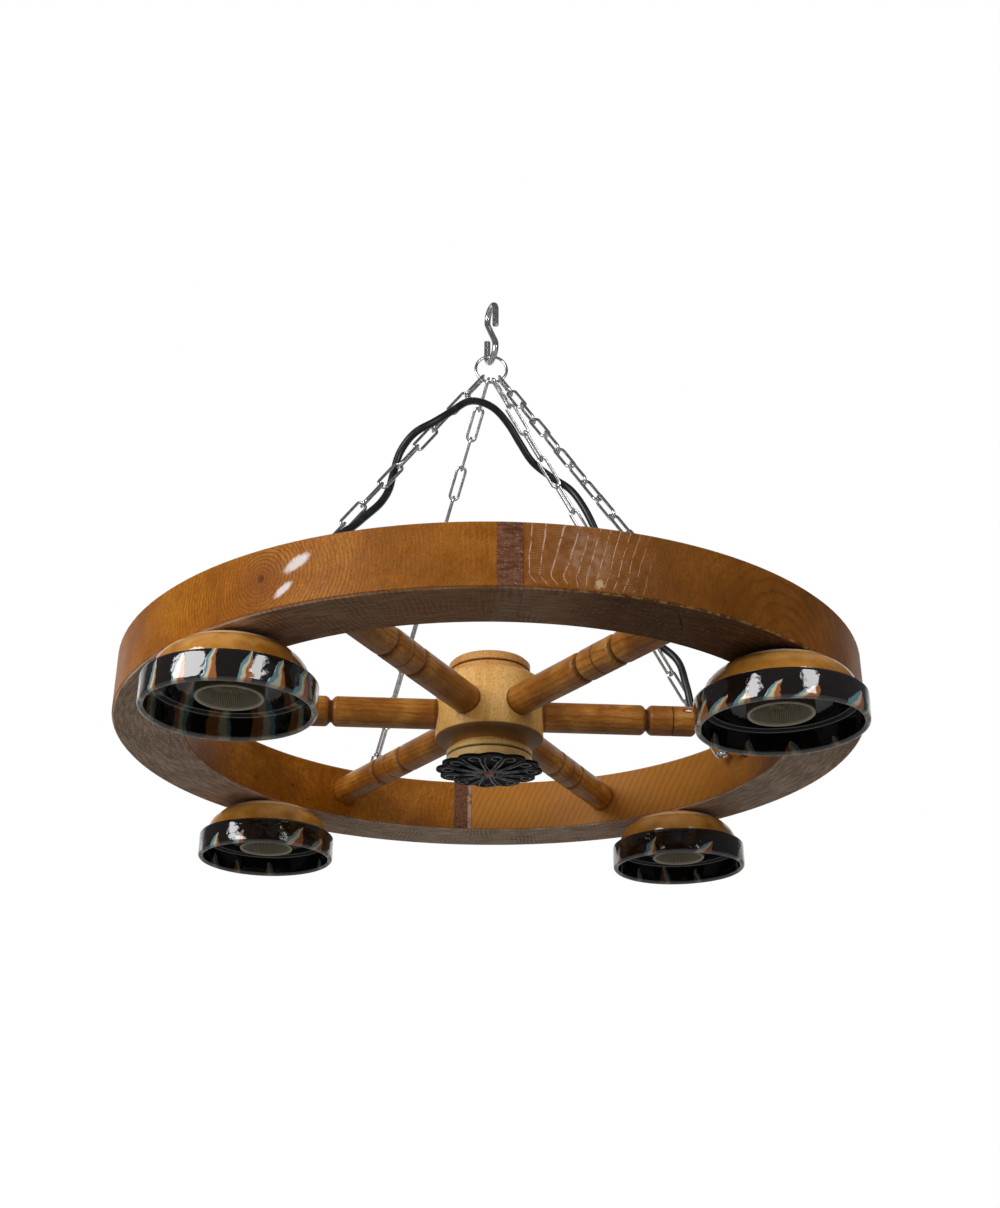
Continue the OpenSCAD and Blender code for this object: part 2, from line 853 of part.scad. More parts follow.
module cable_connectors() {
    color("white")
        for (azimuth = [first_cable_azimuth, second_cable_azimuth])
            groove_block(azimuth, connector_face, groove_radius + groove_width / 2 - connector_play,
                connector_length, connector_height);
}

module cable_grommets() {
    wall = groove_radius - groove_width / 2 - flange_back - grommet_end_gap;
    color("black")
        for (azimuth = [first_cable_azimuth, second_cable_azimuth])
            rotate([0, 0, azimuth])
                translate([flange_back - flange_thickness, 0, cable_z])
                    rotate([0, 90, 0])
                        difference() {
                            union() {
                                cylinder(r = flange_radius, h = flange_thickness, $fn = pin_facets);
                                cylinder(r = grommet_radius, h = flange_thickness + wall, $fn = pin_facets);
                            }
                            translate([0, 0, -cut])
                                cylinder(
                                    r = grommet_bore,
                                    h = flange_thickness + wall + 2 * cut,
                                    $fn = pin_facets
                                );
                        }
}

// a point of the drawn route, moved out with the rim's groove and down with its holes
function placed(p) =
    let (
        spread = groove_radius / drawn_groove,
        crest = ring_z - crest_drop,
        sink = (cable_z - crest) / (drawn_hole - drawn_crest)
    )
    [p.x * spread, p.y * spread, crest + (p.z - drawn_crest) * sink];

// a smooth curve through the chosen points, with so many steps between each two
function curve(points, steps) =
    let (last = len(points) - 1)
    concat(
        [for (i = [0:last - 1], s = [0:steps - 1])
            blend(
                i > 0 ? points[i - 1] : 2 * points[0] - points[1],
                points[i],
                points[i + 1],
                i < last - 1 ? points[i + 2] : 2 * points[last] - points[last - 1],
                s / steps
            )],
        [points[last]]
    );

function blend(a, b, c, d, t) =
    0.5 * (2 * b + (c - a) * t + (2 * a - 5 * b + 4 * c - d) * t * t + (3 * b - a - 3 * c + d) * t * t * t);

function heading(path, i) = unit(path[min(i + 1, len(path) - 1)] - path[max(i - 1, 0)]);

// sideways direction at each ring, carried along the path without twist
function sideways(path, i = 0, before = [0, 0, 1], found = []) =
    i == len(path) ? found
    : let (
        along = heading(path, i),
        side = unit(before - (before * along) * along)
    )
    sideways(path, i + 1, side, concat(found, [side]));

module swept_tube(path, radius, sides) {
    rings = len(path);
    side = sideways(path);
    points = [for (i = [0:rings - 1], k = [0:sides - 1])
        let (
            along = heading(path, i),
            angle = 360 * k / sides
        )
        path[i] + radius * (cos(angle) * side[i] + sin(angle) * cross(along, side[i]))];
    walls = [for (i = [0:rings - 2], k = [0:sides - 1])
        let (next = (k + 1) % sides)
        [i * sides + k, (i + 1) * sides + k, (i + 1) * sides + next, i * sides + next]];
    first_end = [for (k = [0:sides - 1]) k];
    last_end = [for (k = [sides - 1:-1:0]) (rings - 1) * sides + k];
    polyhedron(points, concat(walls, [first_end], [last_end]), convexity = 8);
}

module lighting_cable() {
    color("black")
        swept_tube(curve([for (p = cable_points) placed(p)], cable_steps), cable_radius, cable_sides);
}

// ---- the parts ----

s_hook();
gather_ring();
chain_front_left();
chain_back_left();
chain_back_right();
chain_front_right();
chain_eyes();
rim_left();
rim_right();
joint_strip_front();
joint_strip_back();
felloe_dowels();
hub();
for (k = [0:spoke_count - 1])
    spoke(k);
rosette();
rosette_screw();
for (i = [0:lamp_count - 1]) {
    shade(i);
    holder_base(i);
    screw_shell(i);
    centre_contact(i);
    holder_skirt(i);
}
lamp_nipples();
nipple_nuts();
rim_wiring();
wire_clips();
cable_connectors();
cable_grommets();
lighting_cable();
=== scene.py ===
"""Looks of the wagon wheel chandelier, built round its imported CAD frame.

The frame is in metres, +Z up. Sizes and places here are millimetres unless a comment says metres.
"""
import math
import random

import bpy
from mathutils import Matrix, Vector


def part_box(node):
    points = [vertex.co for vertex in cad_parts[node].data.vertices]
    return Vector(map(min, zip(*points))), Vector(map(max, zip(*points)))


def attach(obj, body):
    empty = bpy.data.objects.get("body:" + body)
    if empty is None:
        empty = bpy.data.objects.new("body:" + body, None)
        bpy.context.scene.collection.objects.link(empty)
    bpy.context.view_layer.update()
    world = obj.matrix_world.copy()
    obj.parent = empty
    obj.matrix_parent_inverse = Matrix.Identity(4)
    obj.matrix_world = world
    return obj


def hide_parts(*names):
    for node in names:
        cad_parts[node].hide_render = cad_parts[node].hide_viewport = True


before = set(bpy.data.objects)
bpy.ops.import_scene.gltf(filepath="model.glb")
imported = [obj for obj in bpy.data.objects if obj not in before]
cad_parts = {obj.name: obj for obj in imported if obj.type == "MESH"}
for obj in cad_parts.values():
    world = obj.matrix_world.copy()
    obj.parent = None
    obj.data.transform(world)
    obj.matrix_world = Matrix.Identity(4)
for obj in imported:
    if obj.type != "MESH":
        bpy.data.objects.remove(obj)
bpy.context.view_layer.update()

MM = 0.001

# ---- the photograph's camera ----

CAMERA_PLACE = (-72.8, -1038.1, -761.3)
CAMERA_YAW = -4.44                # degrees, as the next two
CAMERA_PITCH = 24.86
CAMERA_ROLL = 0.11
FOCAL_PIXELS = 1467.5             # in the photograph's 1000 x 1208 frame
FRAME_HEIGHT = 1208
SENSOR = 36.0


def new_object(name, data):
    """An object of the scene, at the origin."""
    obj = bpy.data.objects.new(name, data)
    bpy.context.scene.collection.objects.link(obj)
    return obj


def new_mesh(name, corners, faces, smooth=True):
    """A mesh from corners in metres and faces."""
    mesh = bpy.data.meshes.new(name)
    mesh.from_pydata(corners, [], faces)
    if smooth:
        mesh.shade_smooth()
    return mesh


def make_camera():
    data = bpy.data.cameras.new("camera")
    data.sensor_width = SENSOR
    data.lens = FOCAL_PIXELS * SENSOR / FRAME_HEIGHT
    camera = new_object("camera", data)
    turn = Matrix.Rotation(math.radians(CAMERA_YAW), 4, "Z")
    lift = Matrix.Rotation(math.radians(90 + CAMERA_PITCH), 4, "X")
    roll = Matrix.Rotation(math.radians(CAMERA_ROLL), 4, "Z")
    camera.matrix_world = Matrix.Translation(Vector(CAMERA_PLACE) * MM) @ turn @ lift @ roll
    bpy.context.scene.camera = camera


# ---- the wheel's driving dimensions, from the frame ----

LAMPS = 4
FIRST_LAMP = 45                   # degrees round the wheel
LAMP_STEP = 360 / LAMPS
LAMP_INSET = 28                   # from the rim's outer face to a lamp's axis
SPOKES = 6
SPOKE_STEP = 360 / SPOKES
SPOKE_RISE = 23.8                 # from the rim's bottom to a spoke's axis
RIM_WIDTH = 50
BAND_HEIGHT = 20.5                # of a shade's upright band
DOME_RADIUS = 50
CROWN_RADIUS = 25.5
GLAZE_WALL = 4.5
NIPPLE_HOLE = 5.25
SKIRT_WALL = 2.2


def corners_of(node):
    """A CAD node's lowest and highest corners, in millimetres."""
    return [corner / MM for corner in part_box(node)]


rim_low = corners_of("rim_left")[0]
RIM_BOTTOM = rim_low.z
RIM_OUTER = -rim_low.x
RIM_INNER = RIM_OUTER - RIM_WIDTH
LAMP_CIRCLE = RIM_OUTER - LAMP_INSET
SPOKE_AXIS = RIM_BOTTOM + SPOKE_RISE
HUB_RADIUS = corners_of("hub")[1].x

shade_low, shade_high = corners_of("shade_0")
SHADE_RADIUS = (shade_high.x - shade_low.x) / 2
SHADE_LIP = shade_low.z
BAND_TOP = SHADE_LIP + BAND_HEIGHT
DOME_RISE = (RIM_BOTTOM - BAND_TOP) / math.sin(math.acos(CROWN_RADIUS / DOME_RADIUS))
CEILING = RIM_BOTTOM - GLAZE_WALL

skirt_low, skirt_high = corners_of("holder_skirt_0")
SKIRT_RADIUS = (skirt_high.x - skirt_low.x) / 2
SKIRT_MOUTH = skirt_low.z
SKIRT_WALL_RADIUS = SKIRT_RADIUS - SKIRT_WALL

rosette_low, rosette_high = corners_of("rosette")
ROSETTE_RADIUS = rosette_high.x


def polar(radius, azimuth, z):
    """A place at that radius and azimuth in degrees round the wheel's axis."""
    angle = math.radians(azimuth)
    return Vector((radius * math.cos(angle), radius * math.sin(angle), z))


def lamp_axis(lamp):
    return polar(LAMP_CIRCLE, FIRST_LAMP + LAMP_STEP * lamp, 0)


# ---- the lighting cable, in metres, on the route of its solid ----

CABLE_DIAMETER = 0.0062
CABLE_STEPS = 6                   # stretches of the curve between two points
CABLE_POINTS = [
    (-0.208, -0.130, -0.368), (-0.198, -0.12375, -0.368), (-0.188, -0.1175, -0.368),
    (-0.169, -0.105, -0.363), (-0.155, -0.092, -0.348), (-0.150, -0.082, -0.322),
    (-0.146, -0.075, -0.298), (-0.135, -0.069, -0.278), (-0.123, -0.063, -0.261),
    (-0.109, -0.054, -0.245), (-0.098, -0.045, -0.229), (-0.088, -0.036, -0.213),
    (-0.082, -0.027, -0.196), (-0.079, -0.021, -0.178), (-0.074, -0.022, -0.158),
    (-0.063, -0.027, -0.143), (-0.047, -0.028, -0.132), (-0.034, -0.023, -0.119),
    (-0.021, -0.015, -0.104), (-0.009, -0.005, -0.097), (0.004, 0.004, -0.098),
    (0.016, 0.013, -0.107), (0.026, 0.019, -0.121), (0.037, 0.025, -0.135),
    (0.053, 0.031, -0.145), (0.069, 0.030, -0.157), (0.080, 0.028, -0.175),
    (0.089, 0.029, -0.195), (0.097, 0.033, -0.216), (0.105, 0.039, -0.237),
    (0.111, 0.051, -0.255), (0.125, 0.065, -0.267), (0.145, 0.070, -0.278),
    (0.160, 0.065, -0.295), (0.165, 0.060, -0.319), (0.171, 0.060, -0.347),
    (0.187, 0.064, -0.363), (0.210, 0.070, -0.368), (0.222, 0.074, -0.368),
    (0.2325, 0.0775, -0.368),
]


def smooth_route(points, steps):
    """Points along the smooth curve that passes through the given ones."""
    points = [Vector(p) for p in points]
    ends = [2 * points[0] - points[1], *points, 2 * points[-1] - points[-2]]
    route = []
    for a, b, c, d in zip(ends, ends[1:], ends[2:], ends[3:]):
        for step in range(steps):
            t = step / steps
            route.append(0.5 * (2 * b + (c - a) * t + (2 * a - 5 * b + 4 * c - d) * t * t
                                + (3 * b - a - 3 * c + d) * t * t * t))
    route.append(points[-1])
    return route


def make_cable():
    curve = bpy.data.curves.new("cable", "CURVE")
    curve.dimensions = "3D"
    curve.bevel_depth = CABLE_DIAMETER / 2
    curve.bevel_resolution = 5
    curve.use_fill_caps = True
    route = smooth_route(CABLE_POINTS, CABLE_STEPS)
    spline = curve.splines.new("POLY")
    spline.points.add(len(route) - 1)
    for point, place in zip(spline.points, route):
        point.co = (*place, 1)
    cable = new_object("cable", curve)
    dress(cable, "wheel", "cable", cable_rubber(), "lighting_cable")


# ---- pieces ----

def dress(obj, body, slot, material, *nodes):
    """Gives a new piece its material, its body and the CAD nodes that it stands for."""
    obj.data.materials.clear()
    obj.data.materials.append(material)
    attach(obj, body)
    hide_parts(*nodes)


def paint(material, *names):
    """Gives CAD nodes a material."""
    for name in names:
        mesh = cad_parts[name].data
        mesh.materials.clear()
        mesh.materials.append(material)


def surface(name, rows, columns, point, centre=(0, 0, 0), closed_rows=False):
    """A piece through a grid of points, given in millimetres by point(row, column).

    Each row runs round and closes; closed_rows joins the last row to the first too.
    """
    corners = [(Vector(point(row, column)) + Vector(centre)) * MM
               for row in range(rows) for column in range(columns)]
    faces = []
    for row in range(rows if closed_rows else rows - 1):
        here = row * columns
        below = (row + 1) % rows * columns
        for column in range(columns):
            beside = (column + 1) % columns
            faces.append((here + column, here + beside, below + beside, below + column))
    return new_object(name, new_mesh(name, corners, faces))


def softened(profile, reach, steps=4, bend=25):
    """A closed outline of (radius, z) with its corners of more than bend degrees rounded.

    The rounding starts reach before a corner and ends reach after it.
    """
    rounded = []
    count = len(profile)
    for index in range(count):
        before = Vector(profile[index - 1])
        corner = Vector(profile[index])
        after = Vector(profile[(index + 1) % count])
        if (corner - before).angle(after - corner) < math.radians(bend):
            rounded.append(corner)
            continue
        start = corner + (before - corner).normalized() * min(reach, (before - corner).length / 2)
        end = corner + (after - corner).normalized() * min(reach, (after - corner).length / 2)
        for step in range(steps + 1):
            t = step / steps
            rounded.append((1 - t) ** 2 * start + 2 * t * (1 - t) * corner + t * t * end)
    return rounded


# ---- shader building ----

def rgb(red, green, blue):
    """A colour from its 0 to 255 screen values."""
    def linear(value):
        value /= 255
        return value / 12.92 if value <= 0.04045 else ((value + 0.055) / 1.055) ** 2.4
    return (linear(red), linear(green), linear(blue), 1)


class Field:
    """A number, vector or colour that varies over a surface, with arithmetic."""

    def __init__(self, shader, socket):
        self.shader = shader
        self.socket = socket

    def __add__(self, other):
        return self.shader.math("ADD", self, other)

    def __sub__(self, other):
        return self.shader.math("SUBTRACT", self, other)

    def __rsub__(self, other):
        return self.shader.math("SUBTRACT", other, self)

    def __mul__(self, other):
        return self.shader.math("MULTIPLY", self, other)

    def __truediv__(self, other):
        return self.shader.math("DIVIDE", self, other)

    def part(self, axis):
        node = self.shader.add("SeparateXYZ", Vector=self)
        return Field(self.shader, node.outputs[axis])

    def parts(self):
        return [self.part(axis) for axis in range(3)]

    def from_axis(self):
        """How far the place is from the Z axis."""
        x, y, _ = self.parts()
        return self.shader.vector("LENGTH", self.shader.join(x, y, 0))

    def over(self, low, high):
        """0 below low, 1 above high, and smooth between; low may be the greater one."""
        return self.shader.smooth(self, low, high)

    def near(self, centre, half):
        """1 at the centre, falling smoothly to 0 at half away from it."""
        return self.shader.math("ABSOLUTE", self - centre).over(half, 0)

    def wrapped(self):
        return self.shader.math("FRACT", self)


class Shader:
    """Builds one node material or world, step by step. The functions below call it s."""

    def __init__(self, name, tree=None):
        if tree is None:
            self.material = bpy.data.materials.new(name)
            self.material.use_nodes = True
            tree = self.material.node_tree
            self.bsdf = tree.nodes["Principled BSDF"]
        self.tree = tree

    def feed(self, socket, value):
        if isinstance(value, Field):
            self.tree.links.new(value.socket, socket)
        else:
            socket.default_value = value

    def add(self, kind, settings=None, **inputs):
        node = self.tree.nodes.new("ShaderNode" + kind)
        for key, value in (settings or {}).items():
            setattr(node, key, value)
        for key, value in inputs.items():
            self.feed(node.inputs[key.replace("_", " ")], value)
        return node

    def math(self, operation, *values):
        node = self.add("Math", {"operation": operation})
        for socket, value in zip(node.inputs, values):
            self.feed(socket, value)
        return Field(self, node.outputs[0])

    def vector(self, operation, *values):
        node = self.add("VectorMath", {"operation": operation})
        for socket, value in zip(node.inputs, values):
            self.feed(socket, value)
        result = "Value" if operation in ("LENGTH", "DOT_PRODUCT", "DISTANCE") else "Vector"
        return Field(self, node.outputs[result])

    def scaled(self, vector, factor):
        node = self.add("VectorMath", {"operation": "SCALE"}, Vector=vector, Scale=factor)
        return Field(self, node.outputs["Vector"])

    def place(self, origin=(0, 0, 0), turn=0):
        """Place on the piece at rest, from origin, with the X axis turned by that many degrees."""
        here = Field(self, self.add("TexCoord").outputs["Object"])
        moved = self.vector("SUBTRACT", self.scaled(here, 1 / MM), tuple(origin))
        if not turn:
            return moved
        node = self.add("VectorRotate", {"rotation_type": "Z_AXIS"}, Vector=moved,
                        Angle=-math.radians(turn))
        return Field(self, node.outputs["Vector"])

    def join(self, x, y, z):
        return Field(self, self.add("CombineXYZ", X=x, Y=y, Z=z).outputs["Vector"])

    def noise(self, place, size, detail=3.0, roughness=0.5, seed=0.0):
        """Cloudy noise about 0.5, with features of that many millimetres."""
        moved = self.vector("ADD", place, (seed * 37.0, seed * 19.0, seed * 53.0))
        node = self.add("TexNoise", None, Vector=moved, Scale=1 / size, Detail=detail,
                        Roughness=roughness)
        return Field(self, node.outputs[0])

    def sway(self, place, size, amount, detail=2.0, roughness=0.5, seed=0.0):
        """Noise that swings up to half of amount to either side of 0."""
        return (self.noise(place, size, detail, roughness, seed) - 0.5) * amount

    def smooth(self, value, low, high):
        node = self.add("MapRange", {"interpolation_type": "SMOOTHSTEP", "clamp": True}, Value=value)
        node.inputs["From Min"].default_value = low
        node.inputs["From Max"].default_value = high
        return Field(self, node.outputs[0])

    def mix(self, share, first, second):
        node = self.add("Mix", {"data_type": "RGBA"})
        self.feed(node.inputs[0], share)
        self.feed(node.inputs[6], first)
        self.feed(node.inputs[7], second)
        return Field(self, node.outputs[2])

    def layers(self, base, *coats):
        """Colour after each (share, colour) coat is laid over the ones before."""
        for share, colour in coats:
            base = self.mix(share, base, colour)
        return base

    def ramp(self, value, *stops):
        node = self.add("ValToRGB", None, Fac=value)
        elements = node.color_ramp.elements
        while len(elements) < len(stops):
            elements.new(1.0)
        for element, (position, colour) in zip(elements, stops):
            element.position = position
            element.color = colour
        return Field(self, node.outputs["Color"])

    def relief(self, height):
        """A normal from a height in millimetres."""
        node = self.add("Bump", None, Height=height, Strength=1.0, Distance=MM)
        return Field(self, node.outputs["Normal"])

    def finish(self, colour, roughness, height=None, **settings):
        """The finished material; settings are further sockets of its shader."""
        self.feed(self.bsdf.inputs["Base Color"], colour)
        self.feed(self.bsdf.inputs["Roughness"], roughness)
        if height is not None:
            self.feed(self.bsdf.inputs["Normal"], self.relief(height))
        for key, value in settings.items():
            self.feed(self.bsdf.inputs[key.replace("_", " ")], value)
        return self.material


# ---- wood ----

LEFT_TONES = (rgb(158, 92, 14), rgb(184, 110, 22), rgb(202, 130, 34))
RIGHT_TONES = (rgb(134, 78, 12), rgb(154, 92, 22), rgb(170, 108, 34))
LEFT_FIBRE = (-0.566, -0.824, 0.05)
RIGHT_FIBRE = (0.62, -0.78, 0.05)
RIGHT_PITH = (176, -214, -406)
UNDERSIDE_COVER = 0.92                      # how much of the underside's colour, stain with painted light and shade, covers the wood

# Knots in the left felloe: the heart of each, and its size. The pith runs through the first.
LEFT_KNOTS = (((-155.6, -226.7, -373.1), 6.0), ((-154.9, 163.2, -378.6), 4.0))
LEFT_PITH = LEFT_KNOTS[0][0]

# Each painted highlight on a run of lacquer on the left felloe: its centre, half width and half height.
PAINTED_HIGHLIGHTS = (((-133.4, -240.5, -367.8), 6.5, 6.2), ((-141.0, -236.1, -384.0), 4.0, 5.0))

# On the right felloe: the pitch of its saw marks and of the bars in its back's grain, the middle of
# its painted sheen, its chipped place, and its drying check with the check's heading.
SAW_PITCH = 6.2
BAR_PITCH = 5.2
PAINTED_SHEEN_PLACE = (38, -273, -372)
CHIP_PLACE = (45.3, -271.2, -390.0)
CHECK_PLACE = (99.5, -236.5)
CHECK_HEADING = (0.29, 0.957)

# Burnt grooves round the hub: the height of each, the radius it reaches in to, and its half width.
HUB_GROOVES = ((-338.25, 31, 1.3), (-346.0, 31, 2.0), (-406.0, 32, 1.3))
HUB_COLLAR = -342                 # the wood is darker above it
HUB_SHOULDER = -391               # the hub is painted in shade from here down
HUB_FOOT = -402                   # to here, and is pale below
GLUE_AZIMUTH = 236                # degrees
GLUE_HEIGHT = -385.4

# Turned notches of a spoke: the distance of each from the wheel's axis, and its half width.
SPOKE_NOTCHES = ((119, 3.2), (138.5, 1.0), (158, 3.2))
NICKED_SPOKE = 0
NICK_PLACE = (90.3, -10.3, 7.0)   # along, across and up the spoke, as NICK_STRETCH scales them
NICK_STRETCH = (0.6, 1, 1.4)


def grain(s, place, pith, fibre, ring, warp, seed=0.0):
    """Rings and fibres of a plank whose pith runs through the point pith along the direction fibre.

    Gives the place within a year's ring from 0 to 1, a place drawn out along the fibres, and the
    distance from the pith.
    """
    fibre = tuple(Vector(fibre).normalized())
    away = s.vector("SUBTRACT", place, tuple(pith))
    along = s.vector("DOT_PRODUCT", away, fibre)
    across = s.vector("SUBTRACT", away, s.scaled(fibre, along))
    reach = s.vector("LENGTH", across)
    bend = s.sway(place, 70, warp, seed=seed) * reach.over(0, 80)
    ripple = s.sway(place, 9, ring * 0.8, seed=seed + 1)
    distance = reach + bend + ripple
    year = (distance / ring).wrapped()
    strands = s.vector("ADD", across, s.scaled(fibre, along * 0.06))
    return year, strands, distance


def late_wood(year):
    """1 in the dark end of each year's ring, which stops sharply."""
    return year.over(0.5, 0.9) * year.over(1.0, 0.95)


def rim_wood(name, tones, pith, fibre, ring, ring_share, worn_edge, marks, seed=0.0):
    """Honey-brown lacquered wood of a felloe; marks adds what only that felloe shows."""
    s = Shader(name)
    place = s.place()
    z = place.part(2)
    year, strands, distance = grain(s, place, pith, fibre, ring, 26, seed)
    late = late_wood(year) * (distance.over(100, 15) * 0.6 + 0.4)
    faint = s.noise(place, 38, 2, seed=seed + 2).over(0.32, 0.68) * 0.6 + 0.4
    clouds = s.noise(place, 48, 4, 0.55, seed + 3).over(0.28, 0.72)
    stripes = s.noise(strands, 2.2, 3, 0.6, seed + 4).over(0.34, 0.66)
    flecks = s.noise(strands, 0.7, 2, 0.6, seed + 5).over(0.54, 0.66)
    upright = s.vector("MULTIPLY", place, (1, 1, 0.14))
    swept = s.noise(upright, 1.0, 2, 0.6, seed + 6).over(0.35, 0.7)
    dirt = s.noise(place, 6, 4, 0.65, seed + 10).over(0.55, 0.75)
    colour = s.layers(
        s.ramp(clouds, (0.0, tones[0]), (0.5, tones[1]), (1.0, tones[2])),
        (stripes * 0.3, rgb(118, 60, 8)),
        (late * faint * ring_share, rgb(92, 44, 6)),
        (swept * 0.34, rgb(112, 60, 10)),
        (flecks * 0.5, rgb(70, 34, 6)),
        (dirt * 0.2, rgb(78, 42, 12)),
    )
    under = on_underside(z)
    colour = s.mix(under * UNDERSIDE_COVER, colour, underside(s, place, seed))
    outer_face = place.from_axis().over(RIM_OUTER - 1.8, RIM_OUTER - 0.5)
    outer_edge = z.over(RIM_BOTTOM + 1.8, RIM_BOTTOM + 0.6) * outer_face
    worn = outer_edge * s.noise(place, 5, 5, 0.7, seed + 8).over(0.46, 0.56)
    colour = s.mix(worn * worn_edge, colour, rgb(214, 164, 92))
    height = stripes * 0.03 + late * 0.04 - swept * 0.03 - flecks * 0.05 - worn * 0.1
    height = height + s.noise(place, 9, 2, seed=seed + 9) * 0.15
    gloss = s.noise(place, 12, 3, seed=seed + 11) * 0.2 + 0.3 + under * 0.3
    colour, height, gloss = marks(s, place, colour, height, gloss)
    return s.finish(colour, gloss, height, Specular_IOR_Level=0.09)


def on_underside(z):
    """1 on the rim's underside."""
    return z.over(RIM_BOTTOM + 1.6, RIM_BOTTOM + 0.4)


def underside(s, place, seed):
    """Matt stain under the rim, with the cutter's chatter across it.

    Paler at the back and left, partly dust, partly painted light; painted shade at the right in front.
    """
    x, y, _ = place.parts()
    turn = s.math("ARCTAN2", y, x) * LAMP_CIRCLE
    patchy = s.noise(place, 30, 2, seed=seed + 13).over(0.4, 0.6)
    chatter = ((turn + s.sway(place, 25, 10, seed=seed + 12)) / 3.6).wrapped().near(0.5, 0.5) * patchy
    rolled = s.join(turn * 0.12, place.from_axis(), 0)
    streaks = s.noise(rolled, 1.6, 3, 0.6, seed + 14).over(0.3, 0.7)
    scuffs = s.noise(s.scaled(place, 0.5), 1.1, 3, 0.7, seed + 15).over(0.58, 0.72)
    # pale: the back and left painted lighter, partly dust and partly painted light
    pale = s.math("MAXIMUM", y.over(-150, 60), x.over(-90, -250))
    # dark: painted shade at the right in front
    dark = x.over(10, 60) * y.over(-60, -150)
    colour = s.mix(streaks, rgb(142, 108, 84), rgb(186, 148, 118))
    colour = s.mix(pale * 0.9, colour, s.mix(streaks, rgb(184, 152, 126), rgb(244, 220, 196)))
    colour = s.mix(dark * 0.85, colour, s.mix(streaks, rgb(72, 46, 24), rgb(112, 76, 46)))
    return s.layers(colour, (chatter * 0.4, rgb(66, 42, 26)), (scuffs * 0.45, rgb(196, 178, 160)))


def knot(s, place, colour, heart, size):
    """Darkens the wood round a knot's heart."""
    away = s.vector("DISTANCE", place, heart) + s.sway(place, 4, 3)
    return s.layers(colour, (away.over(size * 4, size * 0.4) * 0.4, rgb(120, 62, 20)),
                    (away.over(size * 0.6, size * 0.2) * 0.75, rgb(74, 36, 12)))


def left_marks(s, place, colour, height, gloss):
    """Two knots, painted highlights on two lacquer runs, fine saw marks and painted shade by the front
    joint.
    """
    x, y, z = place.parts()
    front = y.over(-150, -190)
    for heart, size in LEFT_KNOTS:
        colour = knot(s, place, colour, heart, size)
    ragged = s.sway(place, 2.4, 0.9, 4, 0.7)
    for centre, half_width, half_height in PAINTED_HIGHLIGHTS:
        away = s.vector("SUBTRACT", place, centre)
        up = away.part(2)
        side = away.part(0) - up * 0.8
        reach = s.vector("LENGTH", s.join(side / half_width, up / half_height, 0)) + ragged
        # spot: a painted highlight, where the lacquer is also smoother and raised
        spot = reach.over(1.15, 0.55) * front
        colour = s.mix(spot * 0.85, colour, rgb(244, 232, 228))
        gloss = gloss * (1 - spot * 0.6)
        height = height + spot * 0.2
    # Darker towards the front joint: painted shade, away from the light at the left.
    colour = s.mix(x.over(-110, -20) * front * 0.3, colour, rgb(116, 66, 26))
    sawn = ((x - z * 0.9 + s.sway(place, 12, 3, seed=4)) / 1.9).wrapped().near(0.5, 0.4)
    sawn = sawn * x.over(-110, -40) * front * s.noise(place, 10, 2, seed=5).over(0.3, 0.6)
    colour = s.mix(sawn * 0.3, colour, rgb(206, 146, 78))
    return colour, height - sawn * 0.04, gloss


def right_marks(s, place, colour, height, gloss):
    """Pale saw marks by the front joint, chips, a drying check, and a lighter back with barred grain."""
    x, y, z = place.parts()
    front = y.over(-215, -235)
    rise = z - RIM_BOTTOM
    curl = s.math("POWER", rise.over(13, 2), 2.0) * 5 * x.over(50, 20)
    lean = x.over(5, 35) * 0.24 + 0.06
    sweep = x - rise * lean - curl + s.sway(place, 30, 5) + s.sway(place, 3, 0.5)
    zone = front * x.over(0.5, 2.5) * x.over(86, 58) * rise.over(2, 5)
    line = (sweep / SAW_PITCH).wrapped().near(0.5, 0.09) * s.noise(place, 5, 3, 0.6, 3).over(0.4, 0.54)
    rungs = (rise / 1.5 + s.sway(place, 9, 2, seed=7)).wrapped().near(0.5, 0.4)
    rungs = rungs * s.noise(place, 7, 2, seed=8).over(0.45, 0.6) * zone
    # The saw marks are real grooves; their pale colour is partly painted highlight.
    saw = line * zone
    # A painted sheen by the saw marks.
    painted_rosy_sheen = zone * x.over(60, 20) * s.noise(place, 16, 3, 0.6, 12).over(0.3, 0.6)
    colour = s.layers(colour, (painted_rosy_sheen * 0.28, rgb(158, 104, 66)), (rungs * 0.3, rgb(196, 152, 112)),
                      (saw * 0.75, rgb(226, 192, 160)))
    height = height - saw * 0.18 - rungs * 0.05

    # A painted sheen: a pale reflection on the lacquer.
    painted_sheen = s.vector("DISTANCE", place, PAINTED_SHEEN_PLACE).over(24, 6)
    colour = s.mix(painted_sheen * s.noise(place, 6, 3, seed=9).over(0.35, 0.7) * 0.3, colour, rgb(206, 176, 156))
    chips = s.vector("DISTANCE", place, CHIP_PLACE) + s.sway(place, 1.6, 9, 3, 0.7)
    torn = chips.over(3.2, 2.0)
    colour = s.mix(torn * 0.75, colour, rgb(226, 190, 142))

    ahead, aside = CHECK_HEADING
    check_x = x - CHECK_PLACE[0]
    check_y = y - CHECK_PLACE[1]
    along = check_x * ahead + check_y * aside
    off = check_x * aside - check_y * ahead + s.sway(place, 5, 2)
    check = off.near(0, 0.7) * along.near(0, 22) * z.over(RIM_BOTTOM + 14, RIM_BOTTOM + 8)
    colour = s.mix(check * 0.9, colour, rgb(30, 16, 8))

    # back: the felloe's back painted lighter, as painted light, with barred grain over it.
    back = y.over(40, 160) * rise.over(0.4, 1.6)
    bars = ((x - rise * 0.45 + s.sway(place, 20, 6, seed=14)) / BAR_PITCH).wrapped().near(0.5, 0.32)
    colour = s.layers(colour, (back * 0.55, rgb(216, 146, 66)), (bars * back * 0.32, rgb(128, 74, 24)))
    return colour, height + torn * 0.25 - check * 0.5, gloss


